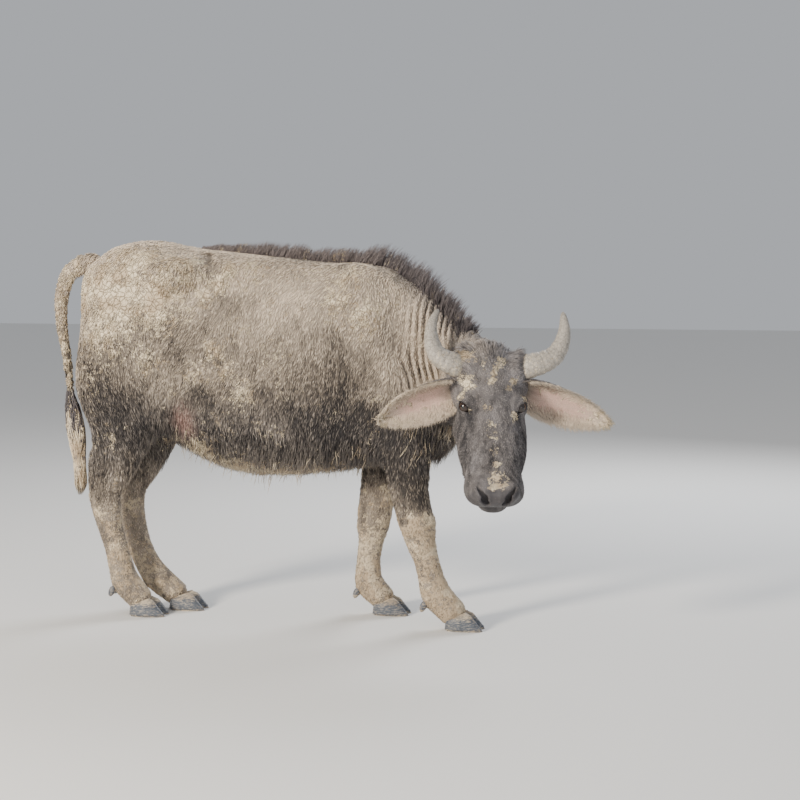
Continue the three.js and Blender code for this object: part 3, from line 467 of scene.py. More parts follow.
def opening(side):
    """The almond between the lids, as a field that is below zero inside it."""
    looks, corners, above = eye_axes(side)
    middle = np.array(twin(EYE_AT, side))

    def value(p):
        d = p - middle
        a, b, front = d @ corners, d @ above, d @ looks
        slot = np.abs(b) - lid_gap(a) * 0.95
        return np.maximum(np.maximum(slot, np.abs(a) - LID_LONG), 9 - front)

    return value


def nostril(side):
    """A comma shaped opening: a deep round end and a thinner one that runs back and out."""
    return limb([(x, y * side, z, r, r * 0.8) for x, y, z, r in NOSTRIL], 3)


def mouth_line():
    """A groove round the front of the muzzle, deepest in the middle and thin at both ends."""
    rows = []
    for a in np.linspace(-1, 1, 25):
        angle = a * MOUTH_TURN
        reach = 112 - 26 * abs(a) ** 1.5
        x = MOUTH_MIDDLE[0] + math.cos(angle) * reach
        y = math.sin(angle) * (84 - 6 * abs(a))
        z = MOUTH_MIDDLE[1] + 9 * a * a
        rows.append((x, y, z, 4.2 * (1 - 0.55 * a * a), 9.0 * (1 - 0.6 * a * a)))
    return limb(rows, 1)


skull_form = barrel(SKULL, (30, 36), 2.3)
face_forms = [mass(twin(at, side), radii) for at, radii in FACE
              for side in ((1,) if at[1] == 0 else (-1, 1))]
lid_folds = [(lid_fold(side, *fold), soft) for *fold, soft in LID_FOLDS for side in (-1, 1)]
eye_openings = [(opening(side), mass(twin(EYE_AT, side), (EYE_RADIUS - 0.6,) * 3))
                for side in (-1, 1)]
muzzle_cuts = [(nostril(side), NOSTRIL_BLEND) for side in (-1, 1)]
muzzle_cuts += [(mouth_line(), LIP_BLEND), (limb(PHILTRUM, 4), LIP_BLEND)]


def face_field(q):
    """The bare head, in its own frame."""
    value = skull_form(q)
    for form in face_forms:
        value = blend(value, form(q), FACE_BLEND)
    return value


def detailed_face(q, value):
    """Adds lids, nostrils and the mouth to the head's value, only where they can reach."""
    eyes = (np.abs(q[:, 0] - EYE_AT[0]) < EYE_REACH) & (q[:, 2] > EYES_ABOVE)
    if eyes.any():
        p, v = q[eyes], value[eyes]
        for fold, soft in lid_folds:
            v = blend(v, fold(p), soft)
        for almond, socket in eye_openings:
            v = carve(v, almond(p), 2.0)
            v = carve(v, socket(p), 1.5)
        value[eyes] = v
    muzzle = q[:, 0] > MUZZLE_FROM
    if muzzle.any():
        p, v = q[muzzle], value[muzzle]
        for cut, soft in muzzle_cuts:
            v = carve(v, cut(p), soft)
        value[muzzle] = v
    return value


print("face forms:", len(face_forms), "lid folds:", len(lid_folds), "cuts:", len(muzzle_cuts))

# %% [markdown]
# ## The whole skin as one field
# The skin lies inside the measured outline by the depth of the coat, which is deepest on the
# body and thinnest on the face, ears and feet. The neck also gets its fan of skin folds.

# %% Whole field
MUSCLE_BLEND = 66
THIGH_BLEND = 56
LEGS_BLEND = 30
LEG_REACH = 170
HOLLOW_BLEND = 60
HEAD_BLEND = 44
TAIL_BLEND = 22
NECK_BOX = ((100, -300, 560), (760, 200, 1170))
TAIL_BOX = ((-850, -40, 730), (-700, 40, 1210))
HEAD_MIDDLE = (185, 0, -130)
HEAD_REACH = (420, 250, 330)
HEAD_STARTS = 480
COAT_DEPTH = 9.0
FACE_DEPTH = 2.6
LEG_TOP = 620
HIP_BONE = np.array((-286.0, 1240.0))
FLANK_HOLLOW = np.array((-172.0, 1040.0))


def on_both_sides(table):
    return [mass(twin(at, side), radii, tilt) for at, radii, tilt in table for side in (-1, 1)]


torso_form = barrel(TORSO, (56, 60), 2.15)
neck_form = limb(NECK, 4)
leg_forms = {name: limb(rows, 3) for name, rows in LEGS.items()}
mass_forms = on_both_sides(MASSES)
brisket_form = mass(*BRISKET)
hollow_forms = on_both_sides(HOLLOWS)
tail_form = limb([(x, y, z, r, r * 0.85) for x, y, z, r in TAIL], 3)


def body_field(p):
    """Trunk, neck and legs without head and tail."""
    value = torso_form(p)
    value = blend(value, near(neck_form, *NECK_BOX, 80, p), MUSCLE_BLEND)
    for form in (brisket_form, *mass_forms):
        value = blend(value, form(p), MUSCLE_BLEND)
    legs = np.full(len(p), FAR)
    for name, rows in LEGS.items():
        stations = np.array(rows, float)[:, :3]
        here = near(leg_forms[name], stations.min(0), stations.max(0), LEG_REACH, p)
        legs = blend(legs, here, LEGS_BLEND)
    value = blend(value, legs, THIGH_BLEND)
    for form in hollow_forms:
        value = carve(value, form(p), HOLLOW_BLEND)
    return value


def hip_crease(p):
    """1 along the fold that runs from the hip bone down into the hollow before it."""
    start = HIP_BONE
    run = FLANK_HOLLOW - HIP_BONE
    place = np.clip((p[:, (0, 2)] - start) @ run / (run @ run), 0, 1)
    off = np.linalg.norm(p[:, (0, 2)] - start - place[:, None] * run, axis=1)
    return np.exp(-(off / (17 + 16 * place)) ** 2) * (1 - 0.5 * place) * (np.abs(p[:, 1]) > 60)


def coat_depth(p, q):
    """How far the skin lies under the outline, in millimetres."""
    depth = COAT_DEPTH - 5.0 * step_up(LEG_TOP - p[:, 2], 60, 330) + 8.0 * hip_crease(p)
    on_head = step_up(q[:, 0], -60, 40) * step_up(150 - np.abs(q[:, 1]), 0, 40)
    return np.where(p[:, 0] > HEAD_STARTS, between(depth, FACE_DEPTH, on_head), depth)


def fold_wave(p):
    """1 in the valleys of the neck's loose skin, -1 on its ridges."""
    along = np.hypot(p[:, 0] - 760, (p[:, 2] - 1010) * 0.55)
    along = along + 26 * noise(p / 1000, 0.09, 63)
    uneven = np.clip(1.9 * noise(p / 1000, 0.05, 64), 0.25, 1.5)
    return uneven * np.sin(along * 2 * math.pi / 21 + 1.4 * np.sin(p[:, 2] / 55))


def fold_region(p, off_head):
    """Where that skin folds: closest together behind the horns, and never on the head."""
    return (step_up(p[:, 0], 345, 460) * step_up(p[:, 2], 690, 800)
            * step_up(1130 - p[:, 2], 0, 70) * step_up(700 - p[:, 0], 0, 30)
            * step_up(off_head, 6, 50))


def neck_folds(p, off_head):
    """How far the folds move the skin in or out, deepest on the side that the head turns to."""
    return (3.9 - 1.9 * step_up(p[:, 1], -20, 60)) * fold_wave(p) * fold_region(p, off_head)


def skin_field(p):
    """The whole animal's skin, in the body's frame."""
    value = body_field(p)
    q = into_head(p)
    front = (p[:, 0] > 440) & np.all(np.abs(q - HEAD_MIDDLE) < HEAD_REACH, axis=1)
    off_head = np.full(len(p), FAR)
    if front.any():
        off_head[front] = face_field(q[front])
        joined = blend(value[front], off_head[front], HEAD_BLEND)
        value[front] = np.where(p[front, 0] >= HEAD_STARTS, joined, value[front])
    value = value + coat_depth(p, q) + neck_folds(p, off_head)
    if front.any():
        value[front] = detailed_face(q[front], value[front])
    return blend(value, near(tail_form, *TAIL_BOX, 70, p) + 3, TAIL_BLEND)


withers = np.array([[230.0, 0, 1190], [230, 0, 1210]])
print("field just under and over the withers:", np.round(skin_field(withers), 1))

# %% [markdown]
# ## From field to mesh
# Surface nets put one vertex in each grid cell that the surface crosses and join
# neighbouring cells with quads. The grid is finer around the head and neck, where detail
# matters, and a coarse first pass finds the cells worth a closer look.

# %% Surface nets
FINE = 4.0
COARSE = 9.0
BLOCK = 4
POINTS_AT_ONCE = 200000


def spaced(low, fine_low, fine_high, high):
    """Grid lines along one axis, close together between fine_low and fine_high."""
    parts = [np.arange(low, fine_low, COARSE), np.arange(fine_low, fine_high, FINE),
             np.arange(fine_high, high + COARSE, COARSE)]
    line = np.concatenate(parts)
    return line[:(len(line) - 1) // BLOCK * BLOCK + 1]


def enlarged(array):
    """The array with each value repeated BLOCK times along all three axes."""
    for axis in range(3):
        array = np.repeat(array, BLOCK, axis)
    return array


def grid_values(field, axes):
    """Field values on the grid: exact near the surface, rough elsewhere."""
    shape = tuple(len(a) for a in axes)
    rough_axes = [a[::BLOCK] for a in axes]
    rough = np.stack(np.meshgrid(*rough_axes, indexing="ij"), -1)
    rough_values = field(rough.reshape(-1, 3)).reshape(rough.shape[:3])
    size = [np.diff(a).max() for a in rough_axes]
    reach = 0.75 * float(np.linalg.norm(size))
    rows, columns, layers = (n - 1 for n in rough_values.shape)
    lowest = np.full((rows, columns, layers), np.inf)
    highest = -lowest
    for a, b, c in CORNERS:
        part = rough_values[a:a + rows, b:b + columns, c:c + layers]
        lowest, highest = np.minimum(lowest, part), np.maximum(highest, part)
    values = enlarged(rough_values)
    values = values[:shape[0], :shape[1], :shape[2]].astype(np.float32)
    wanted = np.zeros(shape, bool)
    grown = enlarged((lowest < reach) & (highest > -reach))
    wanted[:grown.shape[0], :grown.shape[1], :grown.shape[2]] = grown
    for axis in range(3):
        wanted = wanted | np.roll(wanted, 1, axis)
    places = np.argwhere(wanted)
    points = np.stack([axes[n][places[:, n]] for n in range(3)], 1)
    for start in range(0, len(points), POINTS_AT_ONCE):
        chunk = slice(start, start + POINTS_AT_ONCE)
        values[tuple(places[chunk].T)] = field(points[chunk])
    return values


def crossing_middle(values, cells):
    """Where the surface crosses each cell's edges, averaged, as a share of the cell."""
    total = np.zeros((len(cells), 3))
    count = np.zeros(len(cells))
    edges = [(a, a | (1 << bit)) for a in range(8) for bit in range(3) if not a >> bit & 1]
    for a, b in edges:
        value_a, value_b = (values[tuple((cells + CORNERS[n]).T)].astype(float) for n in (a, b))
        crossed = (value_a < 0) != (value_b < 0)
        t = np.where(crossed, value_a / np.where(crossed, value_a - value_b, 1), 0)
        way = np.array(CORNERS[b]) - CORNERS[a]
        at = np.array(CORNERS[a], float) + t[:, None] * way
        total += np.where(crossed[:, None], at, 0)
        count += crossed
    return total / count[:, None]


def surface_nets(field, axes):
    """A closed mesh of quads around the part of space where the field is below zero."""
    values = grid_values(field, axes)
    inside = values < 0
    shape = inside.shape
    corners_inside = np.zeros(tuple(n - 1 for n in shape), np.uint8)
    for a, b, c in CORNERS:
        corners_inside += inside[a:a + shape[0] - 1, b:b + shape[1] - 1, c:c + shape[2] - 1]
    cells = np.argwhere((corners_inside > 0) & (corners_inside < 8))
    index = np.full(corners_inside.shape, -1, np.int64)
    index[tuple(cells.T)] = np.arange(len(cells))
    part = crossing_middle(values, cells)
    vertices = np.empty((len(cells), 3))
    for n in range(3):
        low = axes[n][cells[:, n]]
        high = axes[n][cells[:, n] + 1]
        vertices[:, n] = low + (high - low) * part[:, n]
    faces = []
    core = inside[1:-1, 1:-1, 1:-1]
    for axis in range(3):
        step = [0, 0, 0]
        step[axis] = 1
        ahead = inside[1 + step[0]:shape[0] - 1 + step[0], 1 + step[1]:shape[1] - 1 + step[1],
                       1 + step[2]:shape[2] - 1 + step[2]]
        edges = np.argwhere(core != ahead) + 1
        here = inside[tuple(edges.T)]
        u, v = [e for n, e in enumerate(np.eye(3, dtype=int)) if n != axis]
        quad = np.stack([index[tuple((edges - o).T)] for o in (0 * u, u, u + v, v)], 1)
        flip = here if axis != 1 else ~here
        quad[~flip] = quad[~flip][:, ::-1]
        faces.append(quad)
    return vertices, np.concatenate(faces)


def slope_of(field, points, h=0.8):
    """The field's slope at each point, from its values a little to both sides."""
    out = np.empty_like(points)
    for n in range(3):
        step = np.zeros(3)
        step[n] = h
        out[:, n] = (field(points + step) - field(points - step)) / (2 * h)
    return out


def settle(field, points, share=0.8, longest=2.0):
    """Moves points most of the way onto the true surface, and gives its normals there."""
    slope = slope_of(field, points)
    steep = np.maximum((slope**2).sum(1), 0.05)
    move = -share * (field(points) / steep)[:, None] * slope
    length = np.linalg.norm(move, axis=1, keepdims=True)
    points = points + move * np.minimum(1, longest / np.maximum(length, 1e-6))
    return points, unit(slope_of(field, points) + 1e-9)


AXES = [
    spaced(-900, 380, 870, 910),
    spaced(-535, -530, 0, 330),
    spaced(0, 415, 1040, 1330),
]
skin_points, skin_quads = surface_nets(skin_field, AXES)
print("skin vertices:", len(skin_points), "quads:", len(skin_quads))

# %% [markdown]
# ## A mesh in the frame's own place
# The CAD frame puts its origin under the middle of the whole animal. The eye is a plain
# ball in both, so its centre tells how far the two origins lie apart.

# %% Into the frame
eye_low, eye_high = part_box("eye_right")
eye_middle = (np.array(eye_low) + np.array(eye_high)) / 2
SHIFT = eye_middle - out_of_head([twin(EYE_AT, -1)])[0] / 1000
SHIFT[2] = 0.0


def mesh_piece(name, points_mm, faces):
    """A new object from points in the body's own millimetres."""
    mesh = bpy.data.meshes.new(name)
    faces = np.asarray(faces)
    sides = faces.shape[1]
    mesh.vertices.add(len(points_mm))
    mesh.vertices.foreach_set("co", (np.asarray(points_mm) / 1000 + SHIFT).ravel())
    mesh.loops.add(faces.size)
    mesh.loops.foreach_set("vertex_index", faces.ravel().astype(np.int32))
    mesh.polygons.add(len(faces))
    mesh.polygons.foreach_set("loop_start", np.arange(0, faces.size, sides, dtype=np.int32))
    mesh.polygons.foreach_set("use_smooth", np.full(len(faces), True))
    mesh.update(calc_edges=True)
    mesh.validate()
    piece = bpy.data.objects.new(name, mesh)
    bpy.context.scene.collection.objects.link(piece)
    return piece


print("shift between the origins:", np.round(SHIFT, 4))

# %% [markdown]
# ## Where the mud and the markings lie
# Mud, pale dust, bare skin and darker hair are each a number from 0 to 1 at every point of
# the body, and the hair's tone also carries painted shade in folds, creases, on the cheeks
# and low on the body. The skin and the coat read the same numbers, so a patch of mud runs on
# from the skin to the hair over it. Each patch is an oval broken up by noise.

# %% Markings
BODY_MUD = [
    ((-562, 200, 1109), 128, 1.0), ((-430, 202, 1085), 105, 0.9), ((-330, 190, 1180), 72, 0.75),
    ((-595, 205, 985), 105, 0.7), ((-500, 172, 1195), 95, 0.85), ((-680, 120, 1100), 100, 0.8),
    ((-190, 148, 1182), 34, 0.75), ((-225, 169, 1133), 34, 0.85), ((-264, 178, 1091), 34, 0.75),
    ((-221, 246, 918), 44, 0.62), ((-170, 255, 855), 40, 0.62), ((-117, 263, 791), 40, 0.6),
    ((-452, 215, 881), 60, 0.55), ((-292, 237, 851), 56, 0.5), ((-660, 200, 830), 80, 0.42),
    ((190, 185, 1085), 58, 0.72), ((262, 195, 1030), 64, 0.68), ((205, 150, 1150), 60, 0.6),
    ((-305, 130, 600), 62, 0.75), ((-178, 100, 535), 74, 0.8), ((-40, 80, 505), 84, 0.75),
    ((110, 80, 515), 70, 0.6), ((-90, 150, 1190), 90, 0.45), ((90, 120, 1180), 80, 0.4),
    ((-15, 262, 905), 60, 0.4), ((330, 150, 1080), 60, 0.4),
]
FACE_MUD = [
    ((28, -78, 0), 24, 1.0), ((112, -76, -18), 22, 0.95), ((152, -100, -20), 17, 0.9),
    ((116, -4, 6), 15, 0.95), ((80, 8, 6), 12, 0.8), ((106, 66, -8), 13, 0.9),
    ((139, 51, 0), 12, 0.85), ((51, 25, 4), 15, 0.85), ((60, -25, 4), 14, 0.6),
    ((200, -20, 2), 14, 0.5), ((261, -7, -6), 15, 0.8), ((300, -4, -10), 13, 0.8),
    ((340, 0, -16), 13, 0.7), ((389, 4, -22), 14, 0.75), ((430, 4, -26), 22, 0.7),
    ((470, 4, -30), 26, 0.85), ((207, -78, -12), 9, 0.9), ((222, 66, -18), 14, 0.8),
    ((154, -104, -20), 16, 0.8), ((160, 106, -16), 14, 0.8), ((175, -112, -36), 8, 0.5),
]
SPINE_X = (-330, 320, 400, 460, 520, 570, 612)
SPINE_Y = (0, 0, -12, -34, -68, -108, -142)
BELLY_X = (-330, 250)
BELLY_Z = 470
TAIL_X = (725, 760)
BACK_FROM = 900
# a spot of painted shade at the elbow
ELBOW_SHADE = ((350, 590), (110, 110))
BARE_FLANK = ((-342, 684), (34, 44))
TEAR_STREAK = ((222, 74), (22, 12))
SKIN_MARKS = ("mud", "tone", "slate", "pink", "wet")
MARKS = (*SKIN_MARKS, "strand", "share")


def folded_over(p):
    """The points with the right side folded onto the left, for marks that both sides have."""
    return np.stack([p[:, 0], np.abs(p[:, 1]), p[:, 2]], 1)


def blots(p, patches):
    """The strongest patch at each point, from 0 to 1, fading out past its radius."""
    best = np.zeros(len(p))
    for at, radius, strength in patches:
        far = np.linalg.norm(p - np.array(at, float), axis=1) / radius
        np.maximum(best, strength * np.clip(1.12 - far / 1.75, 0, 1), out=best)
    return best


print("mud patches:", len(BODY_MUD), "on the body and", len(FACE_MUD), "on the face")

# %% Parts, mud and colour
def parts_of_body(p, q):
    """How much of each point is head, leg and tail, and its distance off the head."""
    x, y, z = p.T
    front = (x > 470) & np.all(np.abs(q - HEAD_MIDDLE) < HEAD_REACH, axis=1)
    off_head = np.full(len(p), FAR)
    off_head[front] = face_field(q[front])
    head = step_up(30 - off_head, 0, 24) * step_up(q[:, 0], -70, -10)
    leg = step_up(LEG_TOP - z, 0, 200) * (1 - step_up(-off_head, -60, 0)) * (np.abs(y) > 18)
    belly = (x > BELLY_X[0]) & (x < BELLY_X[1]) & (z > BELLY_Z)
    leg = np.where(belly, leg * step_up(540 - z, 0, 40), leg)
    tail = step_up(-x, *TAIL_X) * step_up(z, 700, 720)
    return head, leg, tail, off_head


def mud_cover(p, q, head, tail, lumps, crumbs):
    """Dried mud: patches on body and face, thin splashes between them, caked shins and tail."""
    x, z = p[:, 0], p[:, 2]
    off_face = 1 - head
    mud = blots(folded_over(p), BODY_MUD) * (0.72 + 0.55 * lumps) * off_face
    splashes = 0.32 * step_up(lumps, 0.42, 0.75) * off_face
    mud = np.maximum(mud, splashes)
    shin = step_up(550 - z + 420 * (lumps - 0.5), 0, 300) * off_face
    mud = np.maximum(mud, shin * np.where(x > 0, 0.40, 0.24) + shin * 0.45 * lumps)
    mud = np.maximum(mud, tail * (0.40 + 0.35 * crumbs))
    flakes = layered(p / 1000, 0.016, 51)
    return np.where(head > 0.5, blots(q, FACE_MUD) * (0.55 + 0.9 * flakes), mud)


def back_stripe(p, head):
    """1 on the darker hair along the spine and the crest, 0 off it."""
    x, y, z = p.T
    off = np.abs(y - np.interp(x, SPINE_X, SPINE_Y)) / (34 + 26 * step_up(x, 300, 450))
    return np.exp(-off**2) * (z > BACK_FROM) * step_up(x, -250, 50) * (1 - head)


def body_tone(p, off_head, stripe, lumps, streaks, broad):
    """How light the body's hair is: 0 is the darkest and 1 the palest. Painted shade darkens its
    creases, folds and the low flank.
    """
    x, y, z = p.T
    # paler up the flank: partly pale dust, partly painted shade that darkens the lower flank
    dust_and_shade_up_flank = step_up(z, 690, 1150)
    knees = step_up(LEG_TOP - z, 0, 60)
    shoulder = step_up(x, 150, 420) * step_up(z, 640, 860)
    shins = step_up(540 - z + 240 * (lumps - 0.5), 0, 240)
    forelegs = (x > 220) * step_up(640 - z, 0, 90)
    # darker low on the flank, partly damp hair and partly painted shade low on the body
    low_flank_damp_and_shade = step_up(700 - z, 0, 130) * step_up(x, -260, -120) * (z > 480)
    far_side = y > 20
    tone = 0.06 + 0.60 * dust_and_shade_up_flank + 0.15 * knees
    tone += 0.45 * (lumps - 0.5) + 0.45 * (streaks - 0.5) + 0.6 * (broad - 0.5)
    tone += 0.34 * shoulder
    tone += 0.20 * shins
    tone += 0.08 * forelegs
    # painted shade along the crease from the hip bone down into the flank hollow
    tone -= 0.42 * hip_crease(p)
    tone -= 0.12 * low_flank_damp_and_shade
    # painted shade at the elbow, where the foreleg meets the body
    tone -= 0.24 * spot(x, z, *ELBOW_SHADE)
    tone -= 0.34 * stripe
    # painted shade in the valleys of the neck folds and painted highlight on their ridges, half
    # as strong on the far side
    tone -= 0.30 * fold_region(p, off_head) * fold_wave(p) * (1 - 0.5 * far_side)
    return tone


def face_tone(q, lumps, streaks, broad):
    """The same for the face, darker on the cheeks with painted shade, and paler round the muzzle.
    """
    cheeks = step_up(np.abs(q[:, 1]), 48, 92) * step_up(q[:, 0], 90, 200)
    tone = 0.50 + 0.8 * (lumps - 0.5) + 0.7 * (streaks - 0.5) + 0.5 * (broad - 0.5)
    # painted shade on the sides of the face
    tone -= 0.16 * cheeks
    tone += 0.10 * step_up(q[:, 0], 370, 440)
    return tone


def wet_nose(q, head):
    """Where the nose pad, the nostrils' rims and the lips are bare and wet."""
    pad = step_up(q[:, 0], 478, 492) * step_up(62 - np.abs(q[:, 1]), 0, 14)
    nostrils = step_up(q[:, 0], 470, 486) * step_up(q[:, 2], -118, -108)
    lips = step_up(q[:, 0], 455, 490) * (q[:, 2] < -100) * 0.6
    return head * np.maximum(0.75 * pad * (q[:, 2] < -42), np.maximum(nostrils, lips))


print("markings stored on every piece:", ", ".join(MARKS))

# %% Markings of the skin
def describe(p):
    """What covers the hide at each point: numbers from 0 to 1, in the body's frame."""
    q = into_head(p)
    x, y, z = p.T
    head, leg, tail, off_head = parts_of_body(p, q)
    metres = p / 1000
    lumps, crumbs = layered(metres, 0.06, 11), layered(metres, 0.02, 23)
    streaks = layered(metres * (1, 1, 0.22), 0.011, 37, 2)
    broad = layered(metres, 0.2, 17)
    stripe = back_stripe(p, head)
    mud = mud_cover(p, q, head, tail, lumps, crumbs)
    tone = between(body_tone(p, off_head, stripe, lumps, streaks, broad),
                   face_tone(q, lumps, streaks, broad), head)
    upper_legs = step_up(840 - z, 0, 180) * step_up(z + 240 * (lumps - 0.5), 420, 600)
    slate = head * (0.86 + 0.3 * (lumps - 0.5)) + 0.6 * stripe + 0.5 * upper_legs * (1 - head)
    pink = spot(x, z, *BARE_FLANK) * (np.abs(y) > 80)
    wet = wet_nose(q, head)
    tear = head * spot(q[:, 0], np.abs(q[:, 1]), *TEAR_STREAK)
    return {
        "p": p, "q": q, "head": head, "leg": leg, "tail": tail, "off_head": off_head,
        "mud": np.clip(mud * (1 - 0.8 * wet) * (1 - pink), 0, 1),
        "tone": np.clip(tone - 0.5 * tear, 0, 1), "slate": np.clip(slate, 0, 1),
        "pink": np.clip(pink * 0.75, 0, 1), "wet": np.clip(wet, 0, 1),
        "lumps": lumps, "crumbs": crumbs,
    }


def mark(piece, values):
    """Stores one number per vertex for each marking that a material reads."""
    count = len(piece.data.vertices)
    for name in MARKS:
        layer = piece.data.attributes.new(name, "FLOAT", "POINT")
        numbers = np.broadcast_to(np.asarray(values.get(name, 0.0), np.float32), (count,))
        layer.data.foreach_set("value", np.ascontiguousarray(numbers))


skin_points, skin_normals = settle(skin_field, skin_points)
skin_marks = describe(skin_points)
FACE_CRUST = 0.8
BODY_CRUST = 3.4
crust = step_up(skin_marks["mud"], 0.4, 0.75) * (0.4 + 1.2 * skin_marks["crumbs"])
crust_depth = np.where(skin_marks["head"] > 0.5, FACE_CRUST, BODY_CRUST)
skin_points = skin_points + skin_normals * (crust * crust_depth)[:, None]
print("share of the skin under mud:", round(float(skin_marks["mud"].mean()), 2))

# %% [markdown]
# ## Shader groups that every hide material shares
# A node group is a small program with named inputs and outputs. Mud, cracks and fine grain
# appear on skin, hair, horn and hoof alike, so each is built once as a group and placed in a
# material with that material's own values.

# %% Node helpers
def new_group(name, inputs, outputs):
    """An empty node group with named inputs and outputs."""
    tree = bpy.data.node_groups.new(name, "ShaderNodeTree")
    for direction, sockets in (("INPUT", inputs), ("OUTPUT", outputs)):
        for label, kind, default in sockets:
            socket = tree.interface.new_socket(label, in_out=direction, socket_type=kind)
            if default is not None and direction == "INPUT":
                socket.default_value = default
    return tree, tree.nodes.new("NodeGroupInput"), tree.nodes.new("NodeGroupOutput")


def node(tree, kind, **settings):
    made = tree.nodes.new("ShaderNode" + kind)
    for name, value in settings.items():
        setattr(made, name, value)
    return made


def give(tree, socket, value):
    """Links an input to the value if that is another node's output, or else sets it."""
    if isinstance(value, bpy.types.NodeSocket):
        tree.links.new(value, socket)
    else:
        socket.default_value = value


def feed(tree, target, **sockets):
    """Gives a node its inputs by name, with spaces written as underscores."""
    for label, value in sockets.items():
        give(tree, target.inputs[label.replace("_", " ")], value)
    return target


def maths(tree, operation, a, b=0.0, c=0.0, clamp=False):
    made = node(tree, "Math", operation=operation, use_clamp=clamp)
    for socket, value in zip(made.inputs, (a, b, c)):
        give(tree, socket, value)
    return made.outputs[0]


def times(tree, a, b):
    return maths(tree, "MULTIPLY", a, b)


def added(tree, a, b, clamp=False):
    return maths(tree, "ADD", a, b, clamp=clamp)


def mixed(tree, factor, a, b, how="MIX"):
    """Two colours mixed. A Mix node keeps its colours behind its numbers and vectors."""
    made = node(tree, "Mix", data_type="RGBA", blend_type=how)
    share, first, second, result = 0, 6, 7, 2
    for number, value in ((share, factor), (first, a), (second, b)):
        give(tree, made.inputs[number], value)
    return made.outputs[result]


def spread(tree, value, low, high, to_low=0.0, to_high=1.0):
    """A value eased from one range into another, and held at its ends."""
    made = node(tree, "MapRange", interpolation_type="SMOOTHSTEP")
    feed(tree, made, Value=value, From_Min=low, From_Max=high, To_Min=to_low, To_Max=to_high)
    return made.outputs[0]


def stored(tree, name):
    return node(tree, "Attribute", attribute_name=name).outputs["Fac"]


def rgb(r, g, b):
    return (r, g, b, 1.0)


def object_place(tree):
    return node(tree, "TexCoord").outputs["Object"]


def height_of(tree, place):
    parts = node(tree, "SeparateXYZ")
    tree.links.new(place, parts.inputs[0])
    return parts.outputs["Z"]


def cloudy(tree, place, scale, detail, roughness):
    """Soft noise from 0 to 1 over a place."""
    made = node(tree, "TexNoise")
    feed(tree, made, Vector=place, Scale=scale, Detail=detail, Roughness=roughness)
    return made.outputs[0]


def off_crack(tree, place, scale):
    """The distance to the nearest line of a net of cracks."""
    made = node(tree, "TexVoronoi", feature="DISTANCE_TO_EDGE")
    feed(tree, made, Vector=place, Scale=scale)
    return made.outputs["Distance"]


print("white as a socket takes it:", rgb(1, 1, 1))

# %% [markdown]
# ### Dried mud
# Mud dries pale and shrinks into plates with cracks between them. On the legs it is rubbed
# thin, so the cracks fade out there.

# %% Mud group
MUD_CREAM = rgb(0.81, 0.70, 0.51)
MUD_TAN = rgb(0.44, 0.34, 0.23)
MUD_CRACK = rgb(0.10, 0.075, 0.05)
THIN_BELOW = 0.45
THICK_ABOVE = 0.75


def mud_group():
    """Dried mud: a colour that varies from cream to tan, and a height with cracks."""
    number, colour = "NodeSocketFloat", "NodeSocketColor"
    tree, given, out = new_group(
        "dried_mud",
        [("Scale", number, 60.0), ("Pale", colour, MUD_CREAM), ("Tan", colour, MUD_TAN)],
        [("Color", colour, None), ("Height", number, None)])
    place = object_place(tree)
    height = height_of(tree, place)
    plates = spread(tree, off_crack(tree, place, given.outputs["Scale"]), 0.0, 0.12)
    broad = cloudy(tree, place, 14.0, 5.0, 0.65)
    fine = cloudy(tree, place, 190.0, 4.0, 0.7)
    shade = added(tree, spread(tree, broad, 0.35, 0.66),
                  times(tree, fine, 0.5), clamp=True)
    damp = spread(tree, height, 0.32, 0.62, 0.62, 0.20)
    shade = maths(tree, "SUBTRACT", shade, damp, clamp=True)
    dry = mixed(tree, shade, given.outputs["Tan"], given.outputs["Pale"])
    crack_dark = spread(tree, height, THIN_BELOW, THICK_ABOVE, 0.10, 0.8)
    dark = times(tree, maths(tree, "SUBTRACT", 1.0, plates), crack_dark)
    plate_thick = spread(tree, height, THIN_BELOW, THICK_ABOVE, 0.08, 0.5)
    raised = times(tree, plates, plate_thick)
    lumpy = added(tree, fine, broad)
    feed(tree, out, Color=mixed(tree, dark, dry, MUD_CRACK),
         Height=added(tree, raised, lumpy))
    return tree


EDGE_CRUMBS = ((52.0, 6.0, 2.1), (210.0, 4.0, 1.3))
BARE_PINK = rgb(0.56, 0.345, 0.29)
WET_SLATE = rgb(0.035, 0.032, 0.036)


def hide_group():
    """The hide's own colour, and masks of where mud covers it and where it is wet."""
    colour, value = "NodeSocketColor", "NodeSocketFloat"
    tree, given, out = new_group(
        "hide_colour",
        [("Dark", colour, rgb(0.05, 0.042, 0.038)), ("Light", colour, rgb(0.36, 0.30, 0.24)),
         ("Slate Dark", colour, rgb(0.03, 0.028, 0.032)),
         ("Slate Light", colour, rgb(0.17, 0.16, 0.165)), ("Lift", value, 0.0)],
        [("Color", colour, None), ("Mud", value, None), ("Wet", value, None)])
    tone = added(tree, stored(tree, "tone"), given.outputs["Lift"], clamp=True)
    brown = mixed(tree, tone, given.outputs["Dark"], given.outputs["Light"])
    slate = mixed(tree, tone, given.outputs["Slate Dark"], given.outputs["Slate Light"])
    hide = mixed(tree, stored(tree, "slate"), brown, slate)
    hide = mixed(tree, times(tree, stored(tree, "pink"), 0.8), hide, BARE_PINK)
    hide = mixed(tree, times(tree, stored(tree, "wet"), 0.7), hide, WET_SLATE)
    place = object_place(tree)
    amount = stored(tree, "mud")
    broken = amount
    for scale, detail, size in EDGE_CRUMBS:
        crumbly = cloudy(tree, place, scale, detail, 0.62)
        uneven = maths(tree, "MULTIPLY_ADD", crumbly, size, -size / 2)
        broken = added(tree, broken, uneven)
    mud = times(tree, spread(tree, broken, 0.45, 0.54),
                spread(tree, amount, 0.03, 0.16))
    feed(tree, out, Color=hide, Mud=mud, Wet=stored(tree, "wet"))
    return tree


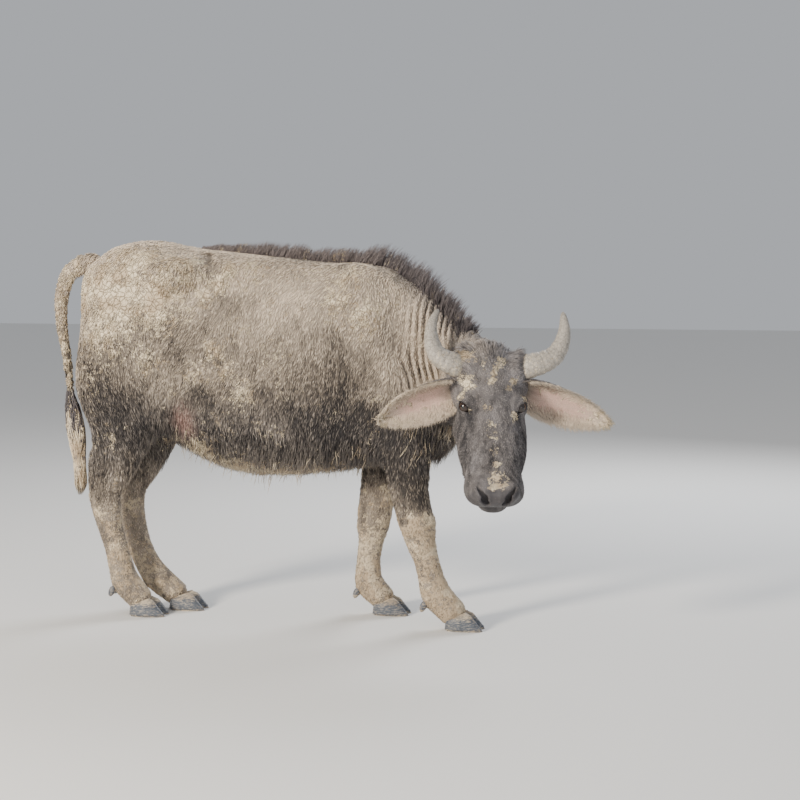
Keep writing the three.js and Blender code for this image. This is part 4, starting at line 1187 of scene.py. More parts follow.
def grain_group():
    """Fine grain for colour and bump, which Stretch can draw out into streaks."""
    tree, given, out = new_group(
        "fine_grain",
        [("Scale", "NodeSocketFloat", 300.0), ("Stretch", "NodeSocketVector", (1, 1, 1))],
        [("Value", "NodeSocketFloat", None)])
    place = node(tree, "VectorMath", operation="MULTIPLY")
    tree.links.new(object_place(tree), place.inputs[0])
    tree.links.new(given.outputs["Stretch"], place.inputs[1])
    grain = cloudy(tree, place.outputs[0], given.outputs["Scale"], 5.0, 0.65)
    feed(tree, out, Value=grain)
    return tree


MUD = mud_group()
HIDE = hide_group()
GRAIN = grain_group()


def placed(tree, group, **sockets):
    made = tree.nodes.new("ShaderNodeGroup")
    made.node_tree = group
    return feed(tree, made, **sockets)


def blank_material(name, roughness=0.8, **fixed):
    material = bpy.data.materials.new(name)
    material.use_nodes = True
    tree = material.node_tree
    shader = feed(tree, tree.nodes["Principled BSDF"], Roughness=roughness, **fixed)
    return material, tree, shader


def add_bump(tree, shader, height, strength, distance):
    bump = node(tree, "Bump")
    feed(tree, bump, Height=height, Strength=strength, Distance=distance)
    feed(tree, shader, Normal=bump.outputs["Normal"])


print("shared groups:", MUD.name, HIDE.name, GRAIN.name)

# %% [markdown]
# ## Daylight and a pale floor
# One strong warm lamp stands for the low sun of the photograph. A weak one in front opens the
# shadows, and one behind draws the edge of the back. All are wide discs, so that the hair
# throws soft shadows.

# %% Floor and light
LOOK_AT = (0, 0, 0.7)
SKY = (0.84, 0.87, 0.92, 1)
SKY_STRENGTH = 0.55
FLOOR_SIZE = 40
FLOOR_COLOUR = (0.76, 0.75, 0.73, 1)


def soft_light(name, at, size, power, colour):
    lamp = bpy.data.lights.new(name, "AREA")
    lamp.shape = "DISK"
    lamp.size = size
    lamp.energy = power
    lamp.color = colour
    light = bpy.data.objects.new(name, lamp)
    light.location = at
    light.rotation_euler = (Vector(LOOK_AT) - Vector(at)).to_track_quat("-Z", "Y").to_euler()
    bpy.context.scene.collection.objects.link(light)


soft_light("sun_side", (-3.5, -5.5, 3.1), 1.3, 760, (1.0, 0.92, 0.80))
soft_light("front_fill", (3.4, -5.2, 2.0), 3.5, 80, (0.86, 0.92, 1.0))
soft_light("back_rim", (1.5, 4.0, 3.2), 2.5, 200, (0.95, 0.97, 1.0))
world = bpy.data.worlds.new("studio")
world.use_nodes = True
sky = world.node_tree.nodes["Background"]
sky.inputs["Color"].default_value = SKY
sky.inputs["Strength"].default_value = SKY_STRENGTH
bpy.context.scene.world = world
bpy.ops.mesh.primitive_plane_add(size=FLOOR_SIZE, location=(0, 0, 0))
floor = bpy.context.active_object
floor.name = "pale_floor"
floor.data.materials.append(blank_material("pale_floor", 0.9, Base_Color=FLOOR_COLOUR)[0])
floor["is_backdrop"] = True
print("floor at z 0")

# %% [markdown]
# ## Hide and hair materials
# The skin is the dark layer under the coat. The hair material is lighter towards each tip,
# where the sun bleaches it and dust settles, and every tuft has its own shade.

# %% Hide and hair materials
def hide_material():
    material, tree, shader = blank_material("hide_skin", Specular_IOR_Level=0.3)
    hide = placed(tree, HIDE, Dark=rgb(0.035, 0.030, 0.027), Light=rgb(0.50, 0.41, 0.32),
                  Slate_Dark=rgb(0.022, 0.021, 0.024), Slate_Light=rgb(0.21, 0.198, 0.205))
    mud = placed(tree, MUD, Scale=48.0)
    grain = placed(tree, GRAIN, Scale=420.0)
    hairy = placed(tree, GRAIN, Scale=240.0, Stretch=(1.0, 1.0, 0.16))
    speck = spread(tree, grain.outputs[0], 0.3, 0.7, 0.72, 1.2)
    specked = mixed(tree, 1.0, hide.outputs["Color"], speck, "MULTIPLY")
    colour = mixed(tree, hide.outputs["Mud"], specked, mud.outputs["Color"])
    rough = maths(tree, "MULTIPLY_ADD", hide.outputs["Wet"], -0.42, 0.82)
    feed(tree, shader, Base_Color=colour, Roughness=rough)
    crust = times(tree, mud.outputs["Height"], hide.outputs["Mud"])
    height = added(tree, crust, times(tree, hairy.outputs[0], 0.8))
    height = added(tree, height, times(tree, grain.outputs[0], 0.35))
    add_bump(tree, shader, height, 0.65, 0.004)
    return material


def hair_material(name, dark, light, slate_dark, slate_light):
    material, tree, shader = blank_material(name, 0.62, Specular_IOR_Level=0.35)
    strand = stored(tree, "strand")
    share = stored(tree, "share")
    lift = maths(tree, "MULTIPLY_ADD", share, 0.42, -0.16)
    lift = added(tree, lift, maths(tree, "MULTIPLY_ADD", strand, 0.66, -0.33))
    hide = placed(tree, HIDE, Dark=dark, Light=light, Slate_Dark=slate_dark,
                  Slate_Light=slate_light, Lift=lift)
    mud = placed(tree, MUD, Scale=150.0)
    keep = times(tree, hide.outputs["Mud"], spread(tree, strand, 0.0, 0.25, 0.6, 1.0))
    colour = mixed(tree, keep, hide.outputs["Color"], mud.outputs["Color"])
    grain = placed(tree, GRAIN, Scale=900.0)
    rough = maths(tree, "MULTIPLY_ADD", hide.outputs["Mud"], 0.3, 0.58)
    feed(tree, shader, Base_Color=colour, Roughness=rough)
    add_bump(tree, shader, grain.outputs[0], 0.25, 0.001)
    return material


HIDE_SKIN = hide_material()
COAT_HAIR = hair_material("coat_hair", rgb(0.050, 0.041, 0.037), rgb(0.74, 0.62, 0.49),
                          rgb(0.030, 0.028, 0.032), rgb(0.31, 0.29, 0.295))
CREST_HAIR = hair_material("crest_hair", rgb(0.040, 0.032, 0.033), rgb(0.27, 0.225, 0.21),
                           rgb(0.030, 0.026, 0.030), rgb(0.20, 0.18, 0.19))
print("materials:", HIDE_SKIN.name, COAT_HAIR.name, CREST_HAIR.name)

# %% [markdown]
# ## Ears
# Each ear is a curled leaf: at every point along its axis the section is an arc, tight at
# the root and nearly flat at the tip. Its rim is thinner than its middle, and low ridges run
# along the inside as they do in a real cup.

# %% Ear shape
EAR_ROOT = (92, 100, -90)
EAR_TIP = (192, 371, -120)
EAR_DRIFT = 17.0
EAR_OPENS = (0.66, 0.05, 0.74)
EAR_HALF_WIDTH = 57.0
EAR_SAG = 18.0
EAR_RINGS = 60
EAR_STEPS = 30


def ear_axes(side):
    """An ear's root and tip, and the ways along it, across it and out of its cup."""
    root = np.array(twin(EAR_ROOT, side), float)
    tip = np.array(twin(EAR_TIP, side), float) + (0, EAR_DRIFT, 0)
    along = unit(tip - root)
    across = unit(np.cross(along, unit(twin(EAR_OPENS, side))))
    facing = unit(np.cross(across, along))
    return root, tip, along, across, facing


def ear_shape(t):
    """Half width, half angle of the curl and half thickness at a share of the length."""
    inner = np.clip(t, 0, 1)
    curl = np.radians(128 - 92 * inner**0.6)
    width = EAR_HALF_WIDTH * np.sin(math.pi * (0.16 + 0.84 * inner) ** 0.82) ** 0.72
    width = np.maximum(np.nan_to_num(width), 5.0 * (1.02 - inner) ** 0.5 + 0.5)
    return width, curl, 3.6 - 2.0 * inner


def ear_point(side, t, a, layer):
    """A point of the ear: t runs to the tip, a from rim to rim, layer is out or in."""
    root, tip, along, across, facing = ear_axes(side)
    width, curl, thick = ear_shape(t)
    radius = width / np.sin(np.minimum(curl, math.pi / 2))
    ridge = 1.5 * np.cos(a * 7.5) * np.sin(math.pi * np.clip(t, 0, 1)) * (1 - a * a)
    wave = 2.5 * np.sin(t * 9 + side) * a * np.abs(a)
    half = thick * np.sqrt(1.02 - a**4) + np.where(layer < 0, ridge, 0)
    r = radius + layer * half
    angle = curl * a
    middle = root + np.outer(t, tip - root)
    middle = middle - np.outer(EAR_SAG * np.sin(math.pi * np.clip(t, 0, 1)), facing)
    return (middle + np.outer(np.sin(angle) * r, across)
            + np.outer((radius - np.cos(angle) * r) * 0.8 + wave, facing))


def ear_grid(side):
    t_line = np.linspace(-0.10, 1.0, EAR_RINGS)
    a_line = np.linspace(-1, 1, EAR_STEPS)
    ring_a = np.concatenate([a_line, a_line[::-1]])
    ring_layer = np.concatenate([np.ones(EAR_STEPS), -np.ones(EAR_STEPS)])
    t = np.repeat(t_line, len(ring_a))
    a = np.tile(ring_a, EAR_RINGS)
    layer = np.tile(ring_layer, EAR_RINGS)
    return t, a, layer, ear_point(side, t, a, layer)


def ring_faces(rings, sides):
    """Quads between rings that each have the same number of points."""
    i, j = np.meshgrid(np.arange(rings - 1), np.arange(sides), indexing="ij")
    after = (j + 1) % sides
    quads = np.stack([i * sides + j, i * sides + after, (i + 1) * sides + after,
                      (i + 1) * sides + j], -1).reshape(-1, 4)
    return quads


def cap_faces(start, sides, flip):
    """Closes a ring of points by joining each side to the one across from it."""
    rows = []
    for j in range(sides // 2 - 1):
        face = [start + j, start + j + 1, start + sides - 2 - j, start + sides - 1 - j]
        rows.append(face[::-1] if flip else face)
    return np.array(rows)


def outward(points, faces):
    """The faces turned so that their closed surface faces out."""
    a, b, c, d = (points[faces[:, n]] for n in range(4))
    total = np.einsum("ij,ij->i", a, np.cross(b, c)).sum()
    total += np.einsum("ij,ij->i", a, np.cross(c, d)).sum()
    return faces if total > 0 else faces[:, ::-1]


def closed_tube(points, rings, sides):
    faces = np.concatenate([ring_faces(rings, sides), cap_faces(0, sides, False),
                            cap_faces((rings - 1) * sides, sides, True)])
    return outward(points, faces)


SIDES = {"right": -1, "left": 1}
print("points of an ear:", EAR_RINGS * 2 * EAR_STEPS)

# %% [markdown]
# ## One hide
# The ears are joined to the skin as one object, their roots sunk in the skull. The ear's
# inside is pale and pink with painted shade deep in the cup near the root, its outside
# slate, and its tip carries a little mud.

# %% Hide
def ear_marks(t, a, layer, seed):
    """The markings of an ear, where layer is below zero inside its cup."""
    inside = (layer < 0).astype(float)
    mottle = layered(np.stack([t * 3, a, layer], 1), 0.16, seed)
    rim_share = step_up(np.abs(a), 0.72, 0.95)
    cup = inside * (1 - step_up(np.abs(a), 0.35, 0.8)) * step_up(t, 0.05, 0.3)
    veins = layered(np.stack([t * 1.2, a * 4, layer], 1), 0.2, seed + 1) - 0.5
    # inside the ear: painted shade deep in the cup near the root, with streaks of hair over it
    cup_tone_shaded_at_root = 0.95 - 0.6 * step_up(0.34 - t, 0, 0.3) + 0.8 * veins
    splashes = 0.5 * step_up(mottle + 0.3 * t, 0.66, 0.8)
    muddy_tip = 0.5 * inside * step_up(t, 0.75, 1)
    return {
        "tone": np.clip(np.where(inside > 0, cup_tone_shaded_at_root, 0.30) + 0.3 * (mottle - 0.5), 0, 1),
        "slate": (1 - inside) * (1 - 0.5 * rim_share) * 0.9,
        "pink": cup * (0.5 + 0.7 * mottle) * (1 - step_up(t, 0.6, 0.95)),
        "mud": np.clip(splashes + muddy_tip, 0, 0.7),
        "wet": 0.0,
    }


hide_points, hide_faces = [skin_points], [outward(skin_points, skin_quads)]
hide_marks = {name: [skin_marks[name]] for name in SKIN_MARKS}
for number, side in enumerate(SIDES.values()):
    t, a, layer, points = ear_grid(side)
    faces = closed_tube(points, EAR_RINGS, 2 * EAR_STEPS)
    hide_faces.append(faces + sum(map(len, hide_points)))
    hide_points.append(out_of_head(points))
    ear = ear_marks(t, a, layer, 60 + number)
    for name in SKIN_MARKS:
        hide_marks[name].append(np.broadcast_to(ear[name], t.shape))
hide = mesh_piece("hide", np.concatenate(hide_points), np.concatenate(hide_faces))
mark(hide, {name: np.concatenate(values) for name, values in hide_marks.items()})
hide.data.materials.append(HIDE_SKIN)
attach(hide, "root")
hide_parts("torso", "neck", "head", "tail", "ear_right", "ear_left",
            *[f"leg_{name}" for name in LEGS])
print("hide faces:", len(hide.data.polygons))

# %% [markdown]
# ## How one tuft of hair is made
# A tuft is a thin three-sided blade with a closed root sunk in the skin and one point at its
# tip. Thousands of them share one mesh, so each coat piece stays a plain solid mesh. Every
# tuft's texture patch sits where its root lies on the unrolled body.

# %% Strands
PATCH = 0.003
BLADE_THICK = 0.45
BLADE_RINGS = 3
AROUND = ((0, 1), (1, 2), (2, 0))


def strand_piece(name, paths, sides, ups, widths, marks, patch_at, material):
    """Joined blades: paths is tufts x rings x 3 in millimetres, and the last ring is the tip."""
    count, rings = paths.shape[:2]
    body_rings = rings - 1
    w = widths[:, :body_rings, None]
    base = paths[:, :body_rings]
    left = base + sides[:, None] * w * 0.5
    right = base - sides[:, None] * w * 0.5
    crown = base + ups[:, None] * w * BLADE_THICK
    points = np.concatenate([np.stack([left, right, crown], 2).reshape(count, -1, 3),
                             paths[:, -1:]], 1)
    per = points.shape[1]
    pattern = [(0, 1, 2)]
    for i in range(body_rings - 1):
        for a, b in AROUND:
            lo_a, lo_b, hi_a, hi_b = 3 * i + a, 3 * i + b, 3 * i + 3 + a, 3 * i + 3 + b
            pattern += [(lo_a, hi_a, hi_b), (lo_a, hi_b, lo_b)]
    top = 3 * (body_rings - 1)
    pattern += [(top + a, per - 1, top + b) for a, b in AROUND]
    pattern = np.array(pattern)
    sample = points[0]
    a, b, c = (sample[pattern[:, n]] - sample.mean(0) for n in range(3))
    if np.einsum("ij,ij->i", a, np.cross(b, c)).sum() < 0:
        pattern = pattern[:, ::-1]
    faces = (pattern[None] + (np.arange(count) * per)[:, None, None]).reshape(-1, 3)
    piece = mesh_piece(name, points.reshape(-1, 3), faces)
    share = np.concatenate([np.repeat(np.linspace(0, 1, rings)[:-1], 3), [1.0]])
    values = {key: np.repeat(np.broadcast_to(value, (count,)), per)
              for key, value in marks.items()}
    values["share"] = np.tile(share, count)
    mark(piece, values)
    across = np.concatenate([np.tile([0.0, 1.0, 0.5], body_rings), [0.5]]) - 0.5
    uv = np.stack([np.repeat(patch_at[:, 0], per) + np.tile(across, count) * PATCH,
                   np.repeat(patch_at[:, 1], per) + (np.tile(share, count) - 0.5) * PATCH], 1)
    layer = piece.data.uv_layers.new(name="OFBake")
    corners = np.empty(len(piece.data.loops), np.int32)
    piece.data.loops.foreach_get("vertex_index", corners)
    layer.data.foreach_set("uv", uv[corners].astype(np.float32).ravel())
    piece.data.materials.append(material)
    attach(piece, "root")
    return piece


def spread_out(values):
    """Numbers stretched to run from 0.01 to 0.99."""
    low, high = values.min(), values.max()
    return 0.01 + 0.98 * (values - low) / max(high - low, 1e-6)


def lying_paths(root, normal, lie, length, rise, bend, fall, sunk, rings):
    """Paths that leave the skin and lie down along it, for many tufts at once."""
    side = unit(np.cross(normal, lie))
    t = np.linspace(0, 1, rings)[None, :, None]
    long = length[:, None, None]
    up = rise[:, None, None] * long * (t - 0.45 * t * t)
    paths = (root[:, None] + lie[:, None] * long * t * (1 - 0.25 * rise[:, None, None])
             + normal[:, None] * up + side[:, None] * bend[:, None, None] * long * t * t)
    paths = paths + np.array([0, 0, -1.0]) * (fall[:, None, None] * long * t * t)
    paths[:, 0] -= normal * sunk
    return paths, side


def turned(vectors, axes, angles):
    """Vectors turned round axes that stand square to them."""
    c, s = np.cos(angles)[:, None], np.sin(angles)[:, None]
    return vectors * c + np.cross(axes, vectors) * s


print("triangles of a tuft:", 1 + 6 * (BLADE_RINGS - 2) + 3)

# %% [markdown]
# ## The lie of the coat
# Hair runs down the flanks and a little backwards, parts along the spine, drops straight
# down the legs, and on the face turns away from a whorl between the eyes. Length and
# spacing change with it: long on the brisket and belly, very short on muzzle and feet.

# %% Lie, length and spacing
HORN_FOOT = (42.0, 92, -38)
HORN_LIE = (-0.25, 0.7, 0.66)
BRISKET_FRINGE = ((470, 610), (90, 80))
HAUNCH_FRINGE = ((-690, 640), (90, 150))
COAT_LENGTH = 23
LEG_HAIR = 10
TAIL_HAIR = 17
FOLD_HAIR = 12
BODY_SPACING = 5.7
HEAD_SPACING = 3.7
SOLE_GAP = 47


def horn_collar(q, side):
    """1 on the skin that rings the root of a horn, fading out over a few centimetres."""
    return step_up(78 - np.linalg.norm(q - np.array(twin(HORN_FOOT, side)), axis=1), 0, 26)


def along_skin(way, normal):
    return way - normal * np.einsum("ij,ij->i", way, normal)[:, None]


def from_eye(q):
    """How far each point lies from the middle of the nearer eye."""
    return np.minimum(*[np.linalg.norm(q - np.array(twin(EYE_AT, side)), axis=1)
                        for side in (1, -1)])


def plastered(d):
    """Where the mud is thick enough to paste the hair down."""
    return step_up(d["mud"], 0.62, 0.9) * (1 - d["head"])


def lie_of_coat(d, normal):
    """The way that the hair runs, always along the skin."""
    p, q = d["p"], d["q"]
    x, y, z = p.T
    side = np.sign(y) + (y == 0)
    top = step_up(normal[:, 2], 0.35, 0.85)
    way = np.stack([-0.28 - 0.45 * top, 0.9 * top * side, -1.0 + 0.3 * top], 1)
    chest = step_up(x, 300, 420)[:, None]
    on_chest = np.stack([-0.1 - 0.3 * top, 0.7 * top * side, -1 + 0 * x], 1)
    way = between(way, on_chest, chest)
    thigh = (step_up(-x, 380, 520) * step_up(1050 - z, 0, 150))[:, None]
    way = between(way, np.array([[0.10, 0, -1.0]]), thigh)
    below = step_up(q[:, 0], 110, 230) * 2 - 1
    cheek = step_up(-q[:, 2], 70, 140) * step_up(430 - q[:, 0], 0, 60)
    face = np.stack([below * (1 - cheek) - 0.35 * cheek, 0.55 * q[:, 1] / 90,
                     -0.15 - 0.85 * cheek], 1) @ HEAD_TURN.T
    way = between(way, face, d["head"][:, None])
    for flank in (-1, 1):
        collar = horn_collar(q, flank)[:, None]
        way = between(way, np.array([twin(HORN_LIE, flank)]) @ HEAD_TURN.T, collar)
    return unit(along_skin(way, normal) + 1e-6)


def coat_length(d, normal):
    """The length of the hair in millimetres, shorter where mud pastes it down."""
    x, y, z = d["p"].T
    q = d["q"]
    length = COAT_LENGTH + 0 * x
    length += 16 * step_up(-normal[:, 2], 0.2, 0.8) * (z > BELLY_Z)
    length += 26 * spot(x, z, *BRISKET_FRINGE) * step_up(-normal[:, 2], -0.3, 0.5)
    length += 12 * spot(x, z, *HAUNCH_FRINGE)
    length = between(length, LEG_HAIR, step_up(560 - z, 0, 260))
    length = between(length, TAIL_HAIR, d["tail"])
    length = between(length, FOLD_HAIR, fold_region(d["p"], d["off_head"]))
    face = 11 + 7 * step_up(110 - q[:, 0], 0, 80) + 9 * step_up(-q[:, 2], 130, 190)
    face += 20 * step_up(22 - q[:, 0], 0, 34) * step_up(105 - np.abs(q[:, 1]), 0, 30)
    face += 6 * (horn_collar(q, 1) + horn_collar(q, -1))
    face -= 5.5 * step_up(q[:, 0], 360, 450)
    face *= 0.45 + 0.55 * step_up(from_eye(q), 34, 60)
    length = between(length, face, d["head"])
    return length * (1 - 0.3 * d["mud"] - 0.25 * plastered(d)) * (0.8 + 0.5 * d["lumps"])


def coat_spacing(d):
    """Millimetres between tufts."""
    z, q = d["p"][:, 2], d["q"]
    spacing = between(BODY_SPACING - 0.9 * step_up(520 - z, 0, 200), HEAD_SPACING, d["head"])
    spacing = spacing * (1 + 0.25 * d["mud"] + 0.7 * plastered(d))
    muzzle = d["head"] * step_up(q[:, 0], 400, 470)
    return spacing * (1 + 0.8 * muzzle) * (1 + 6 * d["wet"])


print("poll to the nearer eye in millimetres:", from_eye(np.zeros((1, 3))).round())

# %% [markdown]
# ### Where the tufts grow
# The skin's triangles get tufts in proportion to their size and to the spacing wanted there.
# None grow on the eyes or close above the ground.

# %% Roots
rng = np.random.RandomState(4021)
triangles = np.concatenate([skin_quads[:, [0, 1, 2]], skin_quads[:, [0, 2, 3]]])
corner_a, corner_b, corner_c = (skin_points[triangles[:, n]] for n in range(3))
areas = np.linalg.norm(np.cross(corner_b - corner_a, corner_c - corner_a), axis=1) / 2
spacing_at = coat_spacing(skin_marks)
wanted = areas / spacing_at[triangles[:, 0]] ** 2
wanted[from_eye(skin_marks["q"][triangles[:, 0]]) < EYE_RADIUS + 3] = 0
wanted[skin_points[triangles[:, 0], 2] < SOLE_GAP] = 0
total_tufts = int(wanted.sum())
picked = np.searchsorted(np.cumsum(wanted) / wanted.sum(), np.sort(rng.rand(total_tufts)))
picked = np.clip(picked, 0, len(triangles) - 1)
u, v = rng.rand(2, total_tufts)
fold = u + v > 1
u[fold], v[fold] = 1 - u[fold], 1 - v[fold]
root = (corner_a[picked] + u[:, None] * (corner_b - corner_a)[picked]
        + v[:, None] * (corner_c - corner_a)[picked])
root_normal = skin_normals[triangles[picked, 0]]
print("surface in square metres:", round(float(areas.sum()) / 1e6, 2), "tufts:", total_tufts)

# %% [markdown]
# ### The tufts
# Every tuft gets its own length, width, twist and shade. Neighbours twist together in patches,
# as damp hair does, hair under the belly hangs, and hair on the poll stands up.

# %% Tufts
ROOT_SUNK = 2.5
TUFT_SHAPE = (0.8, 1.0, 0.0)
DOWN = np.array([0, 0, -1.0])

coat = describe(root)
lie = lie_of_coat(coat, root_normal)
twist = 0.8 * (noise(root / 1000, 0.16, 71) - 0.5) + 0.5 * (noise(root / 1000, 0.03, 72) - 0.5)
twist += rng.normal(0, 0.10, len(root))
twist *= 1 - 0.4 * coat["head"] - 0.4 * step_up(root[:, 0], 330, 420) * (1 - coat["head"])
lie = turned(lie, root_normal, twist)
length = coat_length(coat, root_normal) * rng.uniform(0.75, 1.25, len(root))
hanging = step_up(-root_normal[:, 2], 0.25, 0.8) * (root[:, 2] > 440)
rise = 0.09 + 0.16 * rng.rand(len(root)) ** 3 + 0.16 * (noise(root / 1000, 0.02, 73) - 0.45)
rise = np.clip(rise, 0.05, 0.5) + 0.25 * hanging
poll = coat["head"] * step_up(26 - coat["q"][:, 0], 0, 40)
rise = rise + poll * rng.uniform(0.35, 0.95, len(root))
neck = step_up(root[:, 0], 330, 420) * (1 - coat["head"])
lie = lie + (neck * 0.5)[:, None] * DOWN
lie = unit(along_skin(lie, root_normal))
fall = 0.35 * hanging + 0.05
width = between(2.9 - 0.8 * step_up(500 - root[:, 2], 0, 200), 1.8, coat["head"])
width = width * (1 + 0.4 * coat["mud"]) * rng.uniform(0.7, 1.3, len(root))
bend = rng.normal(0, 0.12, len(root))
paths, sides = lying_paths(root, root_normal, lie, length, rise, bend, fall, ROOT_SUNK,
                           BLADE_RINGS)
widths = width[:, None] * np.array([TUFT_SHAPE])
strand = np.clip(0.5 + rng.normal(0, 0.24, len(root)), 0, 1)
part = np.where(coat["head"] > 0.5, "head", np.where(coat["tail"] > 0.5, "tail", "trunk"))
part[(part == "trunk") & (root[:, 2] < 560) & (coat["leg"] > 0.35)] = "leg"
print("mean length of the tufts in millimetres:", round(float(length.mean()), 1))

# %% Coat
TUFTS_PER_PIECE = 19500
TRUNK_AXIS_Z = 860
HEAD_AXIS_Z = -95
TAIL_AXIS_X = -812


def unroll(kind, who):
    """Where each root lies on its own part of the body, unrolled round that part's axis."""
    p, q = root[who], coat["q"][who]
    if kind == "head":
        return spread_out(np.arctan2(q[:, 1], q[:, 2] - HEAD_AXIS_Z)), spread_out(q[:, 0])
    if kind == "leg":
        across, along = np.zeros(len(p)), spread_out(p[:, 2])
        for n, rows in enumerate(LEGS.values()):
            r = np.array(rows, float)[::-1]
            axis = np.stack([np.interp(p[:, 2], r[:, 2], r[:, k]) for k in (0, 1)], 1)
            off = p[:, :2] - axis
            mine = (np.sign(p[:, 1]) == np.sign(r[0, 1])) & ((p[:, 0] > -100) == (r[0, 0] > -100))
            turn = np.arctan2(off[:, 1], off[:, 0]) / (2 * math.pi) + 0.5
            across = np.where(mine, (n + 0.03 + 0.94 * turn) / 4, across)
        return 0.01 + 0.98 * across, along
    if kind == "tail":
        return spread_out(np.arctan2(p[:, 1], p[:, 0] - TAIL_AXIS_X)), spread_out(p[:, 2])
    return spread_out(np.arctan2(p[:, 1], p[:, 2] - TRUNK_AXIS_Z)), spread_out(p[:, 0])


def coat_pieces(kind, chosen):
    """Cuts one part's tufts into pieces that each stay under the triangle limit."""
    order = np.flatnonzero(chosen)
    body_part = kind.split("_")[0]
    along_part = {"trunk": root[:, 0], "head": coat["q"][:, 0]}.get(body_part, root[:, 2])
    order = order[np.argsort(along_part[order])]
    groups = np.array_split(order, math.ceil(len(order) / TUFTS_PER_PIECE))
    for number, who in enumerate(groups):
        across, along = unroll(body_part, who)
        marks = {name: coat[name][who] for name in SKIN_MARKS}
        marks["strand"] = strand[who]
        piece = strand_piece(f"coat_{kind}_{number + 1}", paths[who], sides[who],
                             root_normal[who], widths[who], marks,
                             np.stack([across, along], 1), COAT_HAIR)
        print(piece.name, "triangles:", len(piece.data.polygons))


right = root[:, 1] < 0
coat_pieces("trunk_right", (part == "trunk") & right)
coat_pieces("trunk_left", (part == "trunk") & ~right)
coat_pieces("leg", part == "leg")
coat_pieces("head", part == "head")
coat_pieces("tail", part == "tail")

# %% [markdown]
# ## The crest along back and neck
# The crest is longer hair that stands up from the spine and leans forward. Its roots are
# found by dropping a line onto the skin, so each strand grows out of the hide.

# %% Crest
CREST = [
    (-330, 0, 12, 8), (-200, 0, 27, 12), (-50, 0, 38, 15), (100, 0, 42, 18), (230, 0, 46, 20),
    (320, 0, 50, 24), (400, -12, 52, 30), (460, -34, 50, 36), (520, -68, 46, 40),
    (570, -108, 38, 44), (606, -138, 28, 46),
]
CREST_STRANDS = 6800
CREST_SEED = 311
CREST_WIDTH = 2.1
CREST_LEAN = 0.42
CREST_SUNK = 5
CREST_SHAPE = (1.0, 1.0, 0.8, 0.5, 0.0)
SEARCH_Z = (860.0, 1400.0)
HALVINGS = 11


def height_of_skin(x, y):
    """The top of the skin over many places at once, by halving."""
    low, high = (np.full(len(x), z) for z in SEARCH_Z)
    for _ in range(HALVINGS):
        middle = (low + high) / 2
        inside = skin_field(np.stack([x, y, middle], 1)) < 0
        low, high = np.where(inside, middle, low), np.where(inside, high, middle)
    return low


def crest_hair(count, seed):
    own = np.random.RandomState(seed)
    rows = np.array(CREST, float)
    place = np.sqrt(((rows[1:, :2] - rows[:-1, :2]) ** 2).sum(1)).cumsum()
    place = np.concatenate([[0], place])
    s = own.rand(count) * place[-1]
    x, y, tall, half = (np.interp(s, place, rows[:, k]) for k in range(4))
    way = np.stack([np.interp(s + 12, place, rows[:, k]) - np.interp(s - 12, place, rows[:, k])
                    for k in (0, 1)] + [0 * s], 1)
    way = unit(way + 1e-6)
    side = np.stack([-way[:, 1], way[:, 0], 0 * s], 1)
    off = np.clip(own.normal(0, 0.42, count), -1, 1) * half
    at = np.stack([x, y], 1) + side[:, :2] * off[:, None]
    z = height_of_skin(at[:, 0], at[:, 1])
    start = np.column_stack([at, z])
    clump = noise(start / 1000, 0.022, seed)[:, None] - 0.5
    stray = own.normal(0, 0.13, (count, 3))
    up = unit(np.array([0, 0, 1.0]) + side * (off / half * 0.30)[:, None]
              + way * (0.16 + 0.5 * clump) + side * clump * 0.5 + stray)
    wavy = 0.85 + 0.5 * noise(start / 1000, 0.04, seed + 1)
    long = tall * (1 - 0.45 * (off / half) ** 2) * own.uniform(0.5, 1.3, count) * wavy
    t = np.linspace(0, 1, len(CREST_SHAPE))[None, :, None]
    leaning = way * CREST_LEAN + side * (off / half * 0.2)[:, None]
    reach = long[:, None] * own.uniform(0.4, 1.3, (count, 1))
    paths = start[:, None] + up[:, None] * long[:, None, None] * t
    paths = paths + leaning[:, None] * reach[:, :, None] * t * t
    paths[:, 0] -= up * CREST_SUNK
    flat = unit(np.cross(up, side) + own.normal(0, 0.5, (count, 3)))
    third = unit(np.cross(up, flat))
    widths = CREST_WIDTH * own.uniform(0.7, 1.4, (count, 1)) * np.array([CREST_SHAPE])
    on_back = step_up(380 - x, 0, 200)
    marks = {"strand": np.clip(0.5 + own.normal(0, 0.25, count) + 0.5 * clump[:, 0], 0, 1),
             "tone": 0.50 + 0.20 * on_back, "slate": 0.55 * (1 - 0.6 * on_back),
             "mud": 0.3 * step_up(layered(start / 1000, 0.03, seed + 2), 0.5, 0.7)}
    patch_at = np.stack([spread_out(off), spread_out(s)], 1)
    return strand_piece("crest_hair", paths, flat, third, widths, marks, patch_at, CREST_HAIR)


print("crest triangles:", len(crest_hair(CREST_STRANDS, CREST_SEED).data.polygons))

# %% [markdown]
# ## Hair of the ears
# The outside of the ear has short dark hair that runs to the tip. The inside has long pale
# hair that sweeps out from the cup to the rims, and past the lower rim it hangs as a fringe.

# %% Ear hair
ON_BACK, ON_CUP, ON_RIM = 2400, 2100, 1700


